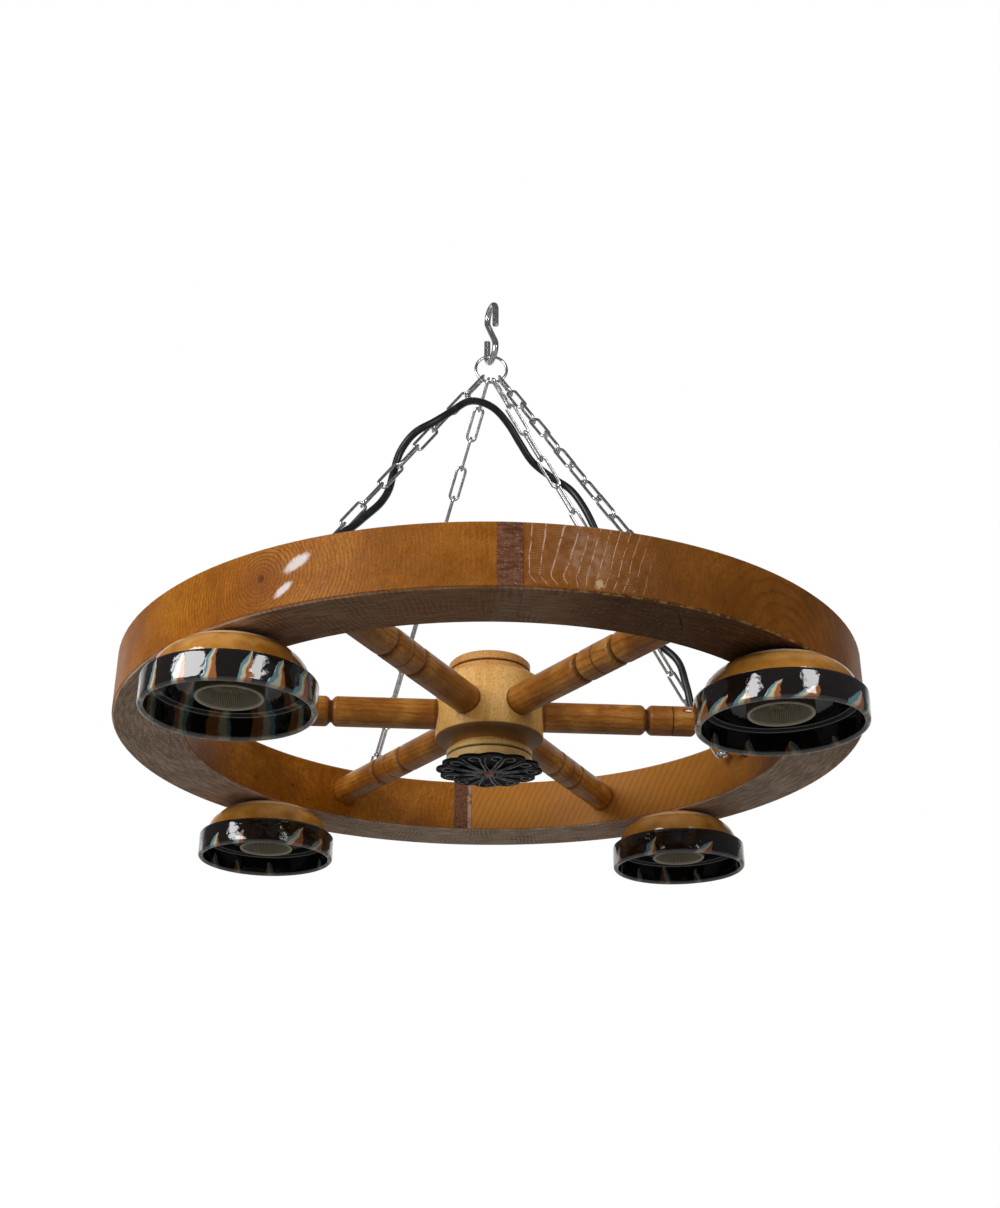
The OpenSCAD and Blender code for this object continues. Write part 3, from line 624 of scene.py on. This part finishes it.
def strip_wood(name):
    """Dark red-brown strip with its grain torn out in pale dashes, and a pale sliver by the back joint."""
    s = Shader(name)
    place = s.place()
    x, y, z = place.parts()
    level = z + s.sway(place, 11, 5)
    bands = s.noise(s.join(x * 0.25, y * 0.25, level), 1.7, 3, 0.6).over(0.3, 0.7)
    dashes = s.noise(s.join(x * 0.5, y * 0.5, level), 0.8, 3, 0.65, 2).over(0.56, 0.66)
    columns = s.noise(s.join(x, y, z * 0.1), 1.4, 2, 0.6, 4).over(0.4, 0.65)
    colour = s.mix(bands, rgb(92, 50, 32), rgb(136, 90, 64))
    colour = s.layers(colour, (columns * 0.3, rgb(74, 38, 24)), (dashes * 0.6, rgb(196, 156, 126)))
    sliver = x.over(-3.6, -3.0) * y.over(0, 1) * s.noise(place, 4, 3).over(0.3, 0.5)
    colour = s.mix(sliver * 0.6, colour, rgb(214, 178, 150))
    under = on_underside(z)
    colour = s.mix(under * UNDERSIDE_COVER, colour, underside(s, place, 0))
    gloss = s.noise(place, 6, 3) * 0.3 + 0.25 + under * 0.3
    return s.finish(colour, gloss, bands * 0.08 - dashes * 0.2, Specular_IOR_Level=0.14)


def hub_wood(name):
    """Light turned wood full of short dark pores, with burnt grooves and a drop of glue by one spoke."""
    s = Shader(name)
    place = s.place()
    z = place.part(2)
    radius = place.from_axis()
    upright = s.vector("MULTIPLY", place, (1, 1, 0.12))
    fine = s.noise(upright, 0.9, 3, 0.6).over(0.32, 0.7)
    broad = s.noise(upright, 8, 3, 0.55, 1).over(0.3, 0.7)
    pores = s.noise(s.vector("MULTIPLY", place, (1, 1, 0.55)), 0.75, 2, 0.6, 2).over(0.5, 0.64)
    pale = s.noise(place, 0.9, 2, 0.6, 6).over(0.54, 0.66)
    colour = s.layers(
        s.ramp(broad, (0.0, rgb(246, 182, 92)), (1.0, rgb(255, 204, 118))),
        (z.over(HUB_COLLAR - 10, HUB_COLLAR) * 0.6, rgb(196, 126, 54)),
        (fine * 0.2, rgb(172, 108, 36)),
        (pores * 0.45, rgb(152, 92, 30)),
        (pale * 0.4, rgb(255, 232, 172)),
        (z.over(HUB_FOOT, HUB_FOOT - 3) * 0.5, rgb(255, 222, 150)),
    )
    wear = s.sway(place, 3, 0.9, 3, 0.6, 4)
    for groove, inner, half in HUB_GROOVES:
        burnt = (z + wear).near(groove, half) * radius.over(inner + 1.5, inner - 0.2)
        colour = s.mix(burnt * 0.95, colour, rgb(48, 20, 8))
    # Painted shade in the cove under the barrel, deepest just under its edge.
    cove_painted_shade = (z + wear * 0.5).over(HUB_SHOULDER + 0.2, HUB_SHOULDER - 0.8) * z.over(HUB_FOOT - 6, HUB_FOOT)
    cove_painted_shade = cove_painted_shade * (z.over(HUB_FOOT - 1, HUB_FOOT + 8) * 0.7 + 0.15)
    colour = s.mix(cove_painted_shade, colour, rgb(84, 44, 16))
    drop = tuple(polar(HUB_RADIUS, GLUE_AZIMUTH, GLUE_HEIGHT))
    glue = s.vector("DISTANCE", place, drop) + s.sway(place, 1.5, 2, 3)
    colour = s.mix(glue.over(2.4, 1.4) * 0.5, colour, rgb(250, 226, 176))
    height = fine * 0.04 - pores * 0.07 + (z / 0.7).wrapped() * 0.012
    gloss = s.noise(place, 8, 3) * 0.15 + 0.34
    return s.finish(colour, gloss, height, Specular_IOR_Level=0.25)


def spoke_wood(spoke):
    """Lacquered wood of one spoke, with its grain along it and its turned notches darkened."""
    s = Shader("spoke_wood_%d" % spoke)
    place = s.place((0, 0, SPOKE_AXIS), SPOKE_STEP * spoke)
    along = place.part(0)
    pith = (0, 14 - 5 * (spoke % 3), -18 + 4 * (spoke % 2))
    year, strands, _ = grain(s, place, pith, (1, 0.02, 0.03), 3.4, 5, spoke * 2.3)
    fine = s.noise(strands, 1.0, 3, 0.6, spoke).over(0.32, 0.7)
    clouds = s.noise(place, 26, 4, 0.55, spoke + 0.5).over(0.3, 0.7)
    flecks = s.noise(strands, 0.55, 2, 0.6, spoke + 3).over(0.56, 0.68)
    colour = s.ramp(clouds, (0.0, rgb(152, 92, 24)), (0.6, rgb(186, 118, 40)), (1.0, rgb(212, 148, 62)))
    colour = s.layers(colour, (late_wood(year) * 0.42, rgb(104, 56, 18)), (fine * 0.3, rgb(116, 66, 24)),
                      (flecks * 0.5, rgb(76, 40, 14)))
    worn_along = along + s.sway(place, 3, 0.8, seed=7)
    for notch, half in SPOKE_NOTCHES:
        colour = s.mix(worn_along.near(notch, half) * 0.85, colour, rgb(58, 26, 10))
    for seam in (HUB_RADIUS, RIM_INNER):
        colour = s.mix(worn_along.near(seam, 3.0) * 0.65, colour, rgb(70, 36, 14))
    height = late_wood(year) * 0.03 + fine * 0.03 - flecks * 0.05
    if spoke == NICKED_SPOKE:
        nick = s.vector("DISTANCE", s.vector("MULTIPLY", place, NICK_STRETCH), NICK_PLACE)
        nick = nick + s.sway(place, 1.6, 3, 3, 0.7)
        colour = s.layers(colour, (nick.over(3.4, 2.6) * 0.8, rgb(104, 44, 30)),
                          (nick.over(1.7, 1.0), rgb(236, 226, 216)))
        height = height - nick.over(3.0, 1.5) * 0.3
    gloss = s.noise(place, 9, 3, seed=spoke) * 0.16 + 0.24
    return s.finish(colour, gloss, height, Specular_IOR_Level=0.25)


def plain_wood(name):
    """Pale unfinished wood with its fibres along X."""
    s = Shader(name)
    place = s.place()
    fine = s.noise(s.vector("MULTIPLY", place, (0.1, 1, 1)), 0.8, 3).over(0.3, 0.7)
    colour = s.mix(fine, rgb(206, 164, 108), rgb(178, 132, 80))
    return s.finish(colour, 0.6, fine * 0.05)


# ---- metal, rubber and plastic ----

def zinc(name):
    """Zinc-plated wire, bright with dull clouds and small dark pits."""
    s = Shader(name)
    place = s.place()
    clouds = s.noise(place, 4, 3, 0.6).over(0.3, 0.7)
    pits = s.noise(place, 0.8, 2, 0.6, 2).over(0.62, 0.7)
    colour = s.ramp(clouds, (0.0, rgb(186, 188, 190)), (1.0, rgb(232, 233, 234)))
    colour = s.mix(pits * 0.45, colour, rgb(84, 86, 88))
    gloss = clouds * 0.12 + 0.1
    return s.finish(colour, gloss, clouds * 0.02 - pits * 0.03, Metallic=1.0)


def black_iron(name, body, high, shine):
    """Black painted casting, or, for its ridges, a paler grey that is a painted highlight."""
    s = Shader(name)
    place = s.place()
    pores = s.noise(place, 0.9, 3, 0.6)
    blotches = s.noise(place, 6, 3, 0.6, 1).over(0.3, 0.6)
    colour = s.mix(blotches, body, high)
    gloss = blotches * 0.12 + 0.24
    return s.finish(colour, gloss, pores * 0.05, Specular_IOR_Level=shine)


def aged_copper(name):
    """Copper-brown screw with dark spots."""
    s = Shader(name)
    place = s.place()
    spots = s.noise(place, 1.2, 4, 0.65).over(0.35, 0.65)
    colour = s.mix(spots, rgb(150, 104, 74), rgb(84, 54, 40))
    return s.finish(colour, spots * 0.25 + 0.25, spots * 0.04, Metallic=1.0)


def dull_brass(name, light, dark):
    """Turned or pressed metal, spotted and faintly lined."""
    s = Shader(name)
    place = s.place()
    spots = s.noise(place, 2.2, 4, 0.6).over(0.35, 0.7)
    turned = (place.part(2) / 0.35).wrapped()
    colour = s.mix(spots, light, dark)
    return s.finish(colour, spots * 0.2 + 0.2, turned * 0.006, Metallic=1.0)


def cable_rubber():
    """Black satin sheath, dusty in places."""
    s = Shader("cable_rubber")
    place = s.place()
    dust = s.noise(place, 9, 3, 0.6).over(0.45, 0.75)
    fine = s.noise(place, 0.6, 2, 0.6, 3)
    colour = s.mix(dust * 0.5, rgb(24, 24, 25), rgb(62, 61, 60))
    gloss = dust * 0.2 + 0.34
    return s.finish(colour, gloss, fine * 0.03)


def moulded(name, light, dark, roughness):
    """Moulded plastic with a fine grain and a faint tone."""
    s = Shader(name)
    place = s.place()
    tone = s.noise(place, 12, 3).over(0.3, 0.7)
    fine = s.noise(place, 0.5, 2, 0.6, 5)
    return s.finish(s.mix(tone, dark, light), tone * 0.1 + roughness, fine * 0.02)


def wire_sheath(name):
    """The outer wire is brown and the inner one blue."""
    s = Shader(name)
    place = s.place()
    outer = place.from_axis().over(LAMP_CIRCLE - 0.1, LAMP_CIRCLE + 0.1)
    fine = s.noise(place, 1.5, 3)
    colour = s.mix(outer, rgb(52, 92, 156), rgb(104, 62, 38))
    colour = s.mix(fine * 0.3, colour, rgb(40, 40, 44))
    return s.finish(colour, fine * 0.2 + 0.35, fine * 0.02)


# ---- the lamps ----

GLAZE_BLACK = rgb(22, 16, 15)
GLAZE_BLUE = rgb(110, 156, 166)
GLAZE_CREAM = rgb(220, 206, 172)
GLAZE_RUST = rgb(170, 104, 56)
# The far shades' domes are painted lighter than the near ones: painted light.
FAR_DOME_PAINTED_LIGHTER = (rgb(190, 118, 30), rgb(226, 154, 54), rgb(242, 184, 94))
NEAR_DOME = (rgb(160, 98, 24), rgb(194, 130, 46), rgb(212, 156, 76))
DOME_TONES = (FAR_DOME_PAINTED_LIGHTER, FAR_DOME_PAINTED_LIGHTER, NEAR_DOME, NEAR_DOME)
BEVEL = 1.5                       # of a shade's corners, before they are softened
RIBS = 104                        # inside a holder's skirt
RIB_DEPTH = 0.44

# Runs of glaze outside and inside each shade: how many there are round it, their lean, half width and
# greatest height, and the share of the height that counts.
OUTER_RUNS = (
    (16, 1.0, 0.36, 0.8, 1),
    (15, 0.8, 0.32, 0.8, 1),
    (17, 0.7, 0.36, 1.1, 1),
    (18, 1.3, 0.5, 0.64, 1),
)
INNER_RUNS = (
    (12, 0.1, 0.2, 0.8, 1),
    (12, 0.1, 0.2, 0.8, 1),
    (11, 0.12, 0.3, 1.3, 0.2),
    (11, 0.1, 0.2, 0.6, 1),
)


def flames(s, around, up, seed, count, lean, width, tallest, upward):
    """Share and colour of runs of glaze that rise from the lip.

    around grows by 1 once round the lamp, and up is 0 at the lip and 1 at the band's top.
    """
    turn = around * count
    cell = s.math("FLOOR", turn)
    first, second, third = (
        Field(s, s.add("TexWhiteNoise", {"noise_dimensions": "1D"}, W=cell + shift).outputs["Value"])
        for shift in (seed, seed + 50, seed + 90))
    rise = s.math("MAXIMUM", up * upward, 0.0) / ((first * 0.45 + 0.55) * tallest)
    left = s.math("MAXIMUM", 1 - rise, 0.0)
    foot = (second * 0.5 + 0.6) * width
    half = s.math("POWER", left, 0.65) * foot
    middle = (foot - half) * lean + 0.36 + third * 0.12
    side = (turn.wrapped() - middle) / (half + 0.001)
    share = s.math("ABSOLUTE", side).over(1.04, 0.92) * left.over(0.0, 0.02) * third.over(0.1, 0.12)
    across = side * 0.5 + 0.5 - (rise - 0.4) * 0.35 + (third - 0.5) * 0.3
    colour = s.ramp(across, (0.0, GLAZE_BLUE), (0.28, GLAZE_BLUE), (0.4, GLAZE_CREAM),
                    (0.6, GLAZE_CREAM), (0.72, GLAZE_RUST), (1.0, GLAZE_RUST))
    return share, colour


def inside_dome(s, radius, z):
    """1 on the shade's inner side, below the middle of the dome's wall."""
    arch = s.math("SQRT", s.math("MAXIMUM", 1 - s.math("POWER", radius / (DOME_RADIUS - 2), 2.0), 0.0))
    below = (z - BAND_TOP + GLAZE_WALL / 2 - arch * (DOME_RISE + 0.5)).over(0.5, -0.5)
    return below * radius.over(DOME_RADIUS + 1.5, DOME_RADIUS + 1)


def glaze(lamp):
    """Ochre glaze over the dome, black-brown on the band and inside, with pale runs from the lip."""
    s = Shader("glaze_%d" % lamp)
    place = s.place(lamp_axis(lamp))
    x, y, z = place.parts()
    radius = place.from_axis()
    drop = z - RIM_BOTTOM
    waves = s.noise(place, 11, 2, 0.5, lamp)
    small = s.noise(place, 2.6, 3, 0.6, lamp + 5)
    around = s.math("ARCTAN2", y, x) * (0.5 / math.pi) + 1 + (waves - 0.5) * 0.025
    up = (z - SHADE_LIP) / BAND_HEIGHT + (small - 0.5) * 0.1

    clouds = s.noise(place, 14, 3, 0.5, lamp + 8)
    tones = DOME_TONES[lamp]
    dome = s.ramp(clouds, (0.3, tones[0]), (0.55, tones[1]), (0.8, tones[2]))
    # A lighter band round the dome: a painted sheen.
    swept = (drop + (waves - 0.5) * 12).near(-13, 5)
    crown = radius.over(41, 40) * drop.over(-7.8, -7.2) * drop.over(-4.2, -5.0)
    rim_line = (z + (small - 0.5) * 1.5).over(BAND_TOP + 1.6, BAND_TOP + 0.6)
    dome = s.layers(dome, (swept * 0.3, rgb(226, 180, 112)), (crown * 0.9, rgb(232, 222, 200)),
                    (rim_line * 0.9, rgb(30, 20, 14)))

    run, run_colour = flames(s, around, up, lamp * 31.0, *OUTER_RUNS[lamp])
    band = s.mix(run, s.mix(small.over(0.4, 0.8) * 0.4, GLAZE_BLACK, rgb(42, 26, 20)), run_colour)
    streak, streak_colour = flames(s, around + 0.03, up, lamp * 7.0, *INNER_RUNS[lamp])
    hollow = s.mix(streak * 0.8, GLAZE_BLACK, s.mix(0.3, streak_colour, rgb(70, 76, 46)))

    inner_band = radius.over(SHADE_RADIUS - 2.4, SHADE_RADIUS - 2.9)
    inner_band = inner_band * z.over(BAND_TOP - 0.5, BAND_TOP - 1.0)
    inner = s.math("MAXIMUM", inside_dome(s, radius, z), inner_band)
    colour = s.mix(z.over(BAND_TOP - 0.4, BAND_TOP + 0.1), band, dome)
    colour = s.mix(inner, colour, hollow)
    worn = z.over(SHADE_LIP + 0.6, SHADE_LIP + 0.1) * s.noise(place, 5, 3, 0.6, 3).over(0.4, 0.6)
    colour = s.mix(worn * 0.3, colour, rgb(188, 182, 168))
    height = (waves - 0.5) * 0.55 + (small - 0.5) * 0.06 + run * 0.05
    return s.finish(colour, small * 0.04 + 0.03, height, Specular_IOR_Level=0.85)


def holder_plastic(lamp):
    """Olive-grey moulding outside, pale grey inside, with a thin cream rim."""
    s = Shader("holder_plastic_%d" % lamp)
    place = s.place(lamp_axis(lamp))
    radius = place.from_axis()
    tone = s.noise(place, 7, 3).over(0.3, 0.7)
    fine = s.noise(place, 0.6, 2, 0.6, 5)
    colour = s.mix(tone, rgb(94, 84, 68), rgb(114, 102, 84))
    within = radius.over(SKIRT_RADIUS - 1.4, SKIRT_RADIUS - 1.9)
    # Pale grey inside, painted paler still as painted light against the shade in there.
    pale = s.mix(tone, rgb(214, 204, 178), rgb(228, 218, 194))
    # groove: painted shade between the ribs.
    groove = radius.over(SKIRT_WALL_RADIUS - 0.3, SKIRT_WALL_RADIUS - 0.1)
    colour = s.mix(within, colour, s.mix(groove * 0.75, pale, rgb(116, 104, 86)))
    rim = (place.part(2) + (tone - 0.5) * 0.3).over(SKIRT_MOUTH + 1.2, SKIRT_MOUTH + 0.7)
    colour = s.mix(rim * 0.9, colour, rgb(206, 196, 168))
    return s.finish(colour, tone * 0.1 + 0.32, fine * 0.02)


def dome_profile(base, crown, top, height, steps=20):
    """Outline of an elliptical dome from its crown down to its base, as (radius, z)."""
    last = math.acos(crown / base)
    rise = height / math.sin(last)
    angles = [last * (1 - step / steps) for step in range(steps + 1)]
    return [(base * math.cos(a), top - height + rise * math.sin(a)) for a in angles]


def make_shade(lamp):
    """A thrown and glazed shade: soft edges, and a wall that isn't quite even."""
    height = RIM_BOTTOM - BAND_TOP
    outside = dome_profile(DOME_RADIUS, CROWN_RADIUS, RIM_BOTTOM, height)
    inside = dome_profile(DOME_RADIUS - GLAZE_WALL, CROWN_RADIUS - GLAZE_WALL / 2, CEILING, height)
    band = SHADE_RADIUS - GLAZE_WALL
    profile = [
        (NIPPLE_HOLE, RIM_BOTTOM), *outside,
        (SHADE_RADIUS - BEVEL, BAND_TOP), (SHADE_RADIUS, BAND_TOP - BEVEL),
        (SHADE_RADIUS, BAND_TOP - 7), (SHADE_RADIUS, BAND_TOP - 13),
        (SHADE_RADIUS, SHADE_LIP + BEVEL), (SHADE_RADIUS - BEVEL, SHADE_LIP),
        (band + BEVEL, SHADE_LIP), (band, SHADE_LIP + BEVEL), (band, SHADE_LIP + 9),
        (band, CEILING - height), *reversed(inside), (NIPPLE_HOLE, CEILING),
    ]
    outline = softened(profile, 1.1)
    columns = 160
    chance = random.Random(lamp)
    phases = [chance.uniform(0, 2 * math.pi) for _ in range(4)]

    def point(row, column):
        radius, z = outline[row]
        angle = 2 * math.pi * column / columns
        share = max(0.0, (radius - 30) / 25)
        wobble = sum(math.sin((wave + 2) * angle + phase + z * 0.12) for wave, phase in enumerate(phases))
        radius += share * (0.1 * wobble - 0.4)
        return (radius * math.cos(angle), radius * math.sin(angle), z)

    name = "glazed_shade_%d" % lamp
    shade = surface(name, len(outline), columns, point, lamp_axis(lamp), closed_rows=True)
    dress(shade, "wheel", "glaze", glaze(lamp), "shade_%d" % lamp)


def make_skirt(lamp):
    """A lampholder's skirt with a rolled cream rim and fine ribs inside."""
    columns = RIBS * 4
    top = CEILING - 0.02
    high = CEILING - 10.5
    low = CEILING - 19.5
    profile = [
        (SKIRT_RADIUS, top), (SKIRT_RADIUS, high), (SKIRT_RADIUS, low),
        (SKIRT_RADIUS, SKIRT_MOUTH + 1.3), (SKIRT_RADIUS - 0.4, SKIRT_MOUTH + 0.3),
        (SKIRT_RADIUS - 1.0, SKIRT_MOUTH), (SKIRT_RADIUS - 1.7, SKIRT_MOUTH + 0.3),
        (SKIRT_WALL_RADIUS - 0.3, SKIRT_MOUTH + 1.0), (SKIRT_WALL_RADIUS - 0.2, SKIRT_MOUTH + 2.0),
        (SKIRT_WALL_RADIUS, SKIRT_MOUTH + 2.6), (SKIRT_WALL_RADIUS, low),
        (SKIRT_WALL_RADIUS, high), (SKIRT_WALL_RADIUS, top),
    ]
    outline = softened(profile, 0.3, 2)

    def point(row, column):
        radius, z = outline[row]
        angle = 2 * math.pi * column / columns
        if radius < SKIRT_WALL_RADIUS + 0.05 and z > SKIRT_MOUTH + 2.3:
            radius -= RIB_DEPTH / 2 * (1 + math.cos(RIBS * angle))
        return (radius * math.cos(angle), radius * math.sin(angle), z)

    name = "ribbed_skirt_%d" % lamp
    skirt = surface(name, len(outline), columns, point, lamp_axis(lamp), closed_rows=True)
    dress(skirt, "wheel", "holder", holder_plastic(lamp), "holder_skirt_%d" % lamp)


# ---- the rosette ----

PETALS = 12
PETAL_STEP = 360 / PETALS
PETAL_RADIUS = 10.5               # of a petal's round end
ROSETTE_PLATE = 1.2               # how thick the casting is at its edge

# The veins of each petal: how far from its middle a vein runs, as a share of the petal; the radius at
# which it bends; its crook's radius; and its own.
VEINS = ((0.44, 30.5, 5.4, 0.8), (-0.3, 33.0, 0.4, 0.45))
VEIN_START = 5.5
VEIN_POINTS = 34
VEIN_STRAIGHT = 0.55              # share of the points before the crook
VEIN_SIDES = 8


def off_petal(angle):
    """Degrees from the middle of the petal at that angle."""
    return (angle + PETAL_STEP / 2) % PETAL_STEP - PETAL_STEP / 2


def petal_edge(angle):
    """Radius of the scalloped outline at an angle in degrees."""
    off = math.radians(off_petal(angle))
    ring = ROSETTE_RADIUS - PETAL_RADIUS
    return ring * math.cos(off) + math.sqrt(max(0.0, PETAL_RADIUS ** 2 - (ring * math.sin(off)) ** 2))


def casting_height(share):
    """Height of the rosette's face at that share of the way out to its edge."""
    top = rosette_high.z - ROSETTE_PLATE
    return top - (top - rosette_low.z) * (1 - share) ** 0.8


def make_rosette():
    """The cast rosette: deeply dished petals with a crook-shaped vein along each, painted pale as a
    highlight.
    """
    columns = 360
    rings = 40
    top = rosette_high.z

    def point(row, column):
        angle = 360 * column / columns
        edge = petal_edge(angle)
        if row >= rings:
            share = (2 * rings - 1 - row) / (rings - 1)
            return polar(max(0.01, share * edge), angle, top - 0.01)
        share = row / (rings - 1)
        off = off_petal(angle) / (PETAL_STEP / 2)
        dish = 2.0 * (1 - off * off) * math.sin(math.pi * min(1, share * 1.02)) ** 0.8
        rim = 0.35 * math.exp(-((share - 0.96) / 0.05) ** 2)
        z = min(top - 0.3, casting_height(share) + dish - rim)
        return polar(max(0.01, share * edge), angle, z)

    casting = surface("rosette_casting", 2 * rings, columns, point)
    casting_faces = len(casting.data.polygons)
    veins = [vein_points(petal, *shape) for petal in range(PETALS) for shape in VEINS]
    add_tubes(casting, [tube_mesh(path, radii, VEIN_SIDES) for path, radii in veins])
    painted = black_iron("black_iron", rgb(9, 9, 10), rgb(18, 18, 19), 0.03)
    dress(casting, "wheel", "black_iron", painted, "rosette")
    # The veins take a pale material: a painted highlight.
    casting.data.materials.append(black_iron("iron_ridge_highlight", rgb(66, 66, 66), rgb(176, 176, 174), 0.15))
    for face in casting.data.polygons[casting_faces:]:
        face.material_index = 1


def vein_points(petal, shift, bend_start, crook, thick):
    """Path and thickness of one petal's vein, from the centre out and round its crook."""
    middle = PETAL_STEP * petal
    hand = -1 if math.cos(math.radians(middle)) > 0 else 1
    path = []
    radii = []
    for index in range(VEIN_POINTS):
        t = index / (VEIN_POINTS - 1)
        if t < VEIN_STRAIGHT:
            run = t / VEIN_STRAIGHT
            radius = VEIN_START + (bend_start - VEIN_START) * run
            side = hand * (shift - 0.1 * math.sin(math.pi * run)) * PETAL_STEP * min(1, radius / 14)
        else:
            curl = (t - VEIN_STRAIGHT) / (1 - VEIN_STRAIGHT)
            swing = math.pi * 1.5 * curl
            reach = crook * (1 - 0.45 * curl)
            radius = bend_start + reach * math.sin(swing)
            offset = shift * math.radians(PETAL_STEP) * bend_start
            side = hand * math.degrees((offset - reach * (1 - math.cos(swing))) / radius)
        share = min(1, radius / petal_edge(middle + side))
        path.append(polar(radius, middle + side, casting_height(share) - 0.4))
        radii.append(thick * (1 - 0.5 * t))
    return path, radii


def tube_mesh(path, radii, sides):
    """Corners and faces of a tube along a path, with a radius at each point."""
    corners = []
    faces = []
    for index, (place, radius) in enumerate(zip(path, radii)):
        before = path[max(index - 1, 0)]
        after = path[min(index + 1, len(path) - 1)]
        along = (after - before).normalized()
        side = along.cross(Vector((0, 0, 1))).normalized()
        up = side.cross(along)
        for k in range(sides):
            angle = 2 * math.pi * k / sides
            corners.append((place + radius * (math.cos(angle) * side + math.sin(angle) * up)) * MM)
    for index in range(len(path) - 1):
        for k in range(sides):
            a = index * sides + k
            b = index * sides + (k + 1) % sides
            faces.append((a, b, b + sides, a + sides))
    faces.append(tuple(reversed(range(sides))))
    faces.append(tuple((len(path) - 1) * sides + k for k in range(sides)))
    return corners, faces


def add_tubes(obj, tubes):
    """Adds closed tubes to a piece's mesh."""
    corners = [vertex.co.copy() for vertex in obj.data.vertices]
    faces = [tuple(face.vertices) for face in obj.data.polygons]
    for more_corners, more_faces in tubes:
        start = len(corners)
        corners += more_corners
        faces += [tuple(start + index for index in face) for face in more_faces]
    obj.data = new_mesh(obj.name, corners, faces)


# ---- stage and light ----

WHEEL_MIDDLE = (0, 0, -380)
FLOOR_LEVEL = -1900
FLOOR_HALF = 60000                # half of its side


def softbox(name, place, width, height, power):
    """A rectangular lamp aimed at the wheel, its sides in metres and its power in watts."""
    data = bpy.data.lights.new(name, "AREA")
    data.shape = "RECTANGLE"
    data.size = width
    data.size_y = height
    data.energy = power
    light = new_object(name, data)
    light.location = Vector(place) * MM
    light.rotation_mode = "QUATERNION"
    light.rotation_quaternion = (Vector(WHEEL_MIDDLE) - Vector(place)).to_track_quat("-Z", "Z")


def seen(s):
    """1 for what the camera sees straight, and 1 for what it sees in metal and glass."""
    rays = s.add("LightPath").outputs
    kinds = ("Is Camera Ray", "Is Glossy Ray", "Is Transmission Ray")
    direct, mirrored, through = (Field(s, rays[kind]) for kind in kinds)
    return direct, s.math("MAXIMUM", mirrored, through)


def make_world():
    """White where the camera looks, and a dim room behind the camera, as metal and glaze show it."""
    world = bpy.data.worlds.new("studio")
    bpy.context.scene.world = world
    world.use_nodes = True
    s = Shader("studio", world.node_tree)
    direct, mirrored = seen(s)
    heading = Field(s, s.add("TexCoord").outputs["Generated"])
    backdrop = heading.part(1).over(0.45, 0.85)
    upper = heading.part(2).over(-0.5, 0.6)
    white = s.math("MAXIMUM", direct, mirrored * backdrop)
    room = (upper * 0.2 + 0.1) * (1 - mirrored * 0.55)
    background = world.node_tree.nodes["Background"]
    background.inputs["Color"].default_value = (1, 1, 1, 1)
    s.feed(background.inputs["Strength"], s.math("MAXIMUM", white, room))


def make_floor():
    """A pale floor far below, glowing where it is seen, so that it looks almost white."""
    signs = ((-1, -1), (1, -1), (1, 1), (-1, 1))
    corners = [Vector((x * FLOOR_HALF, y * FLOOR_HALF, FLOOR_LEVEL)) * MM for x, y in signs]
    floor = new_object("floor", new_mesh("floor", corners, [(0, 1, 2, 3)], smooth=False))
    s = Shader("floor")
    direct, mirrored = seen(s)
    shown = s.math("MAXIMUM", direct, mirrored)
    mottle = s.noise(s.place(), 400, 2)
    colour = s.mix(shown, rgb(166, 166, 166), rgb(236, 235, 233))
    colour = s.mix(mottle * 0.05, colour, rgb(200, 200, 200))
    glow = direct * 0.5 + mirrored * 0.12
    floor.data.materials.append(s.finish(colour, 0.8, Emission_Color=(1, 1, 1, 1), Emission_Strength=glow))


# ---- the scene ----

make_camera()
make_cable()

left_wood = rim_wood("rim_wood_left", LEFT_TONES, LEFT_PITH, LEFT_FIBRE, ring=2.6, ring_share=0.74,
                     worn_edge=0.15, marks=left_marks)
right_wood = rim_wood("rim_wood_right", RIGHT_TONES, RIGHT_PITH, RIGHT_FIBRE, ring=8.6, ring_share=0.42,
                      worn_edge=0.85, marks=right_marks, seed=20.0)
paint(left_wood, "rim_left")
paint(right_wood, "rim_right")
paint(strip_wood("strip_wood"), "joint_strip_front", "joint_strip_back")
paint(hub_wood("hub_wood"), "hub")
for spoke in range(SPOKES):
    paint(spoke_wood(spoke), "spoke_%d" % spoke)
paint(plain_wood("dowel_wood"), "felloe_dowels")

paint(zinc("zinc"), "s_hook", "gather_ring", "chain_eyes",
      "chain_front_left", "chain_back_left", "chain_back_right", "chain_front_right")
make_rosette()
paint(aged_copper("aged_copper"), "rosette_screw")

base_plastic = moulded("base_plastic", rgb(46, 42, 38), rgb(34, 31, 28), 0.4)
shell_metal = dull_brass("shell_metal", rgb(234, 230, 216), rgb(208, 202, 186))
brass = dull_brass("brass", rgb(212, 178, 100), rgb(150, 116, 62))
for lamp in range(LAMPS):
    make_shade(lamp)
    make_skirt(lamp)
    paint(base_plastic, "holder_base_%d" % lamp)
    paint(shell_metal, "screw_shell_%d" % lamp)
    paint(brass, "centre_contact_%d" % lamp)
paint(brass, "lamp_nipples", "nipple_nuts")
paint(wire_sheath("wire_sheath"), "rim_wiring")
paint(moulded("clip_plastic", rgb(226, 222, 210), rgb(206, 200, 186), 0.4),
      "wire_clips", "cable_connectors")
paint(moulded("grommet_rubber", rgb(34, 34, 34), rgb(22, 22, 22), 0.55), "cable_grommets")

make_world()
make_floor()
softbox("key", (-1370, -1180, 170), width=0.9, height=0.9, power=22)
softbox("front", (760, -1360, 130), width=0.4, height=0.5, power=5)
bpy.context.scene.view_settings.view_transform = "Standard"
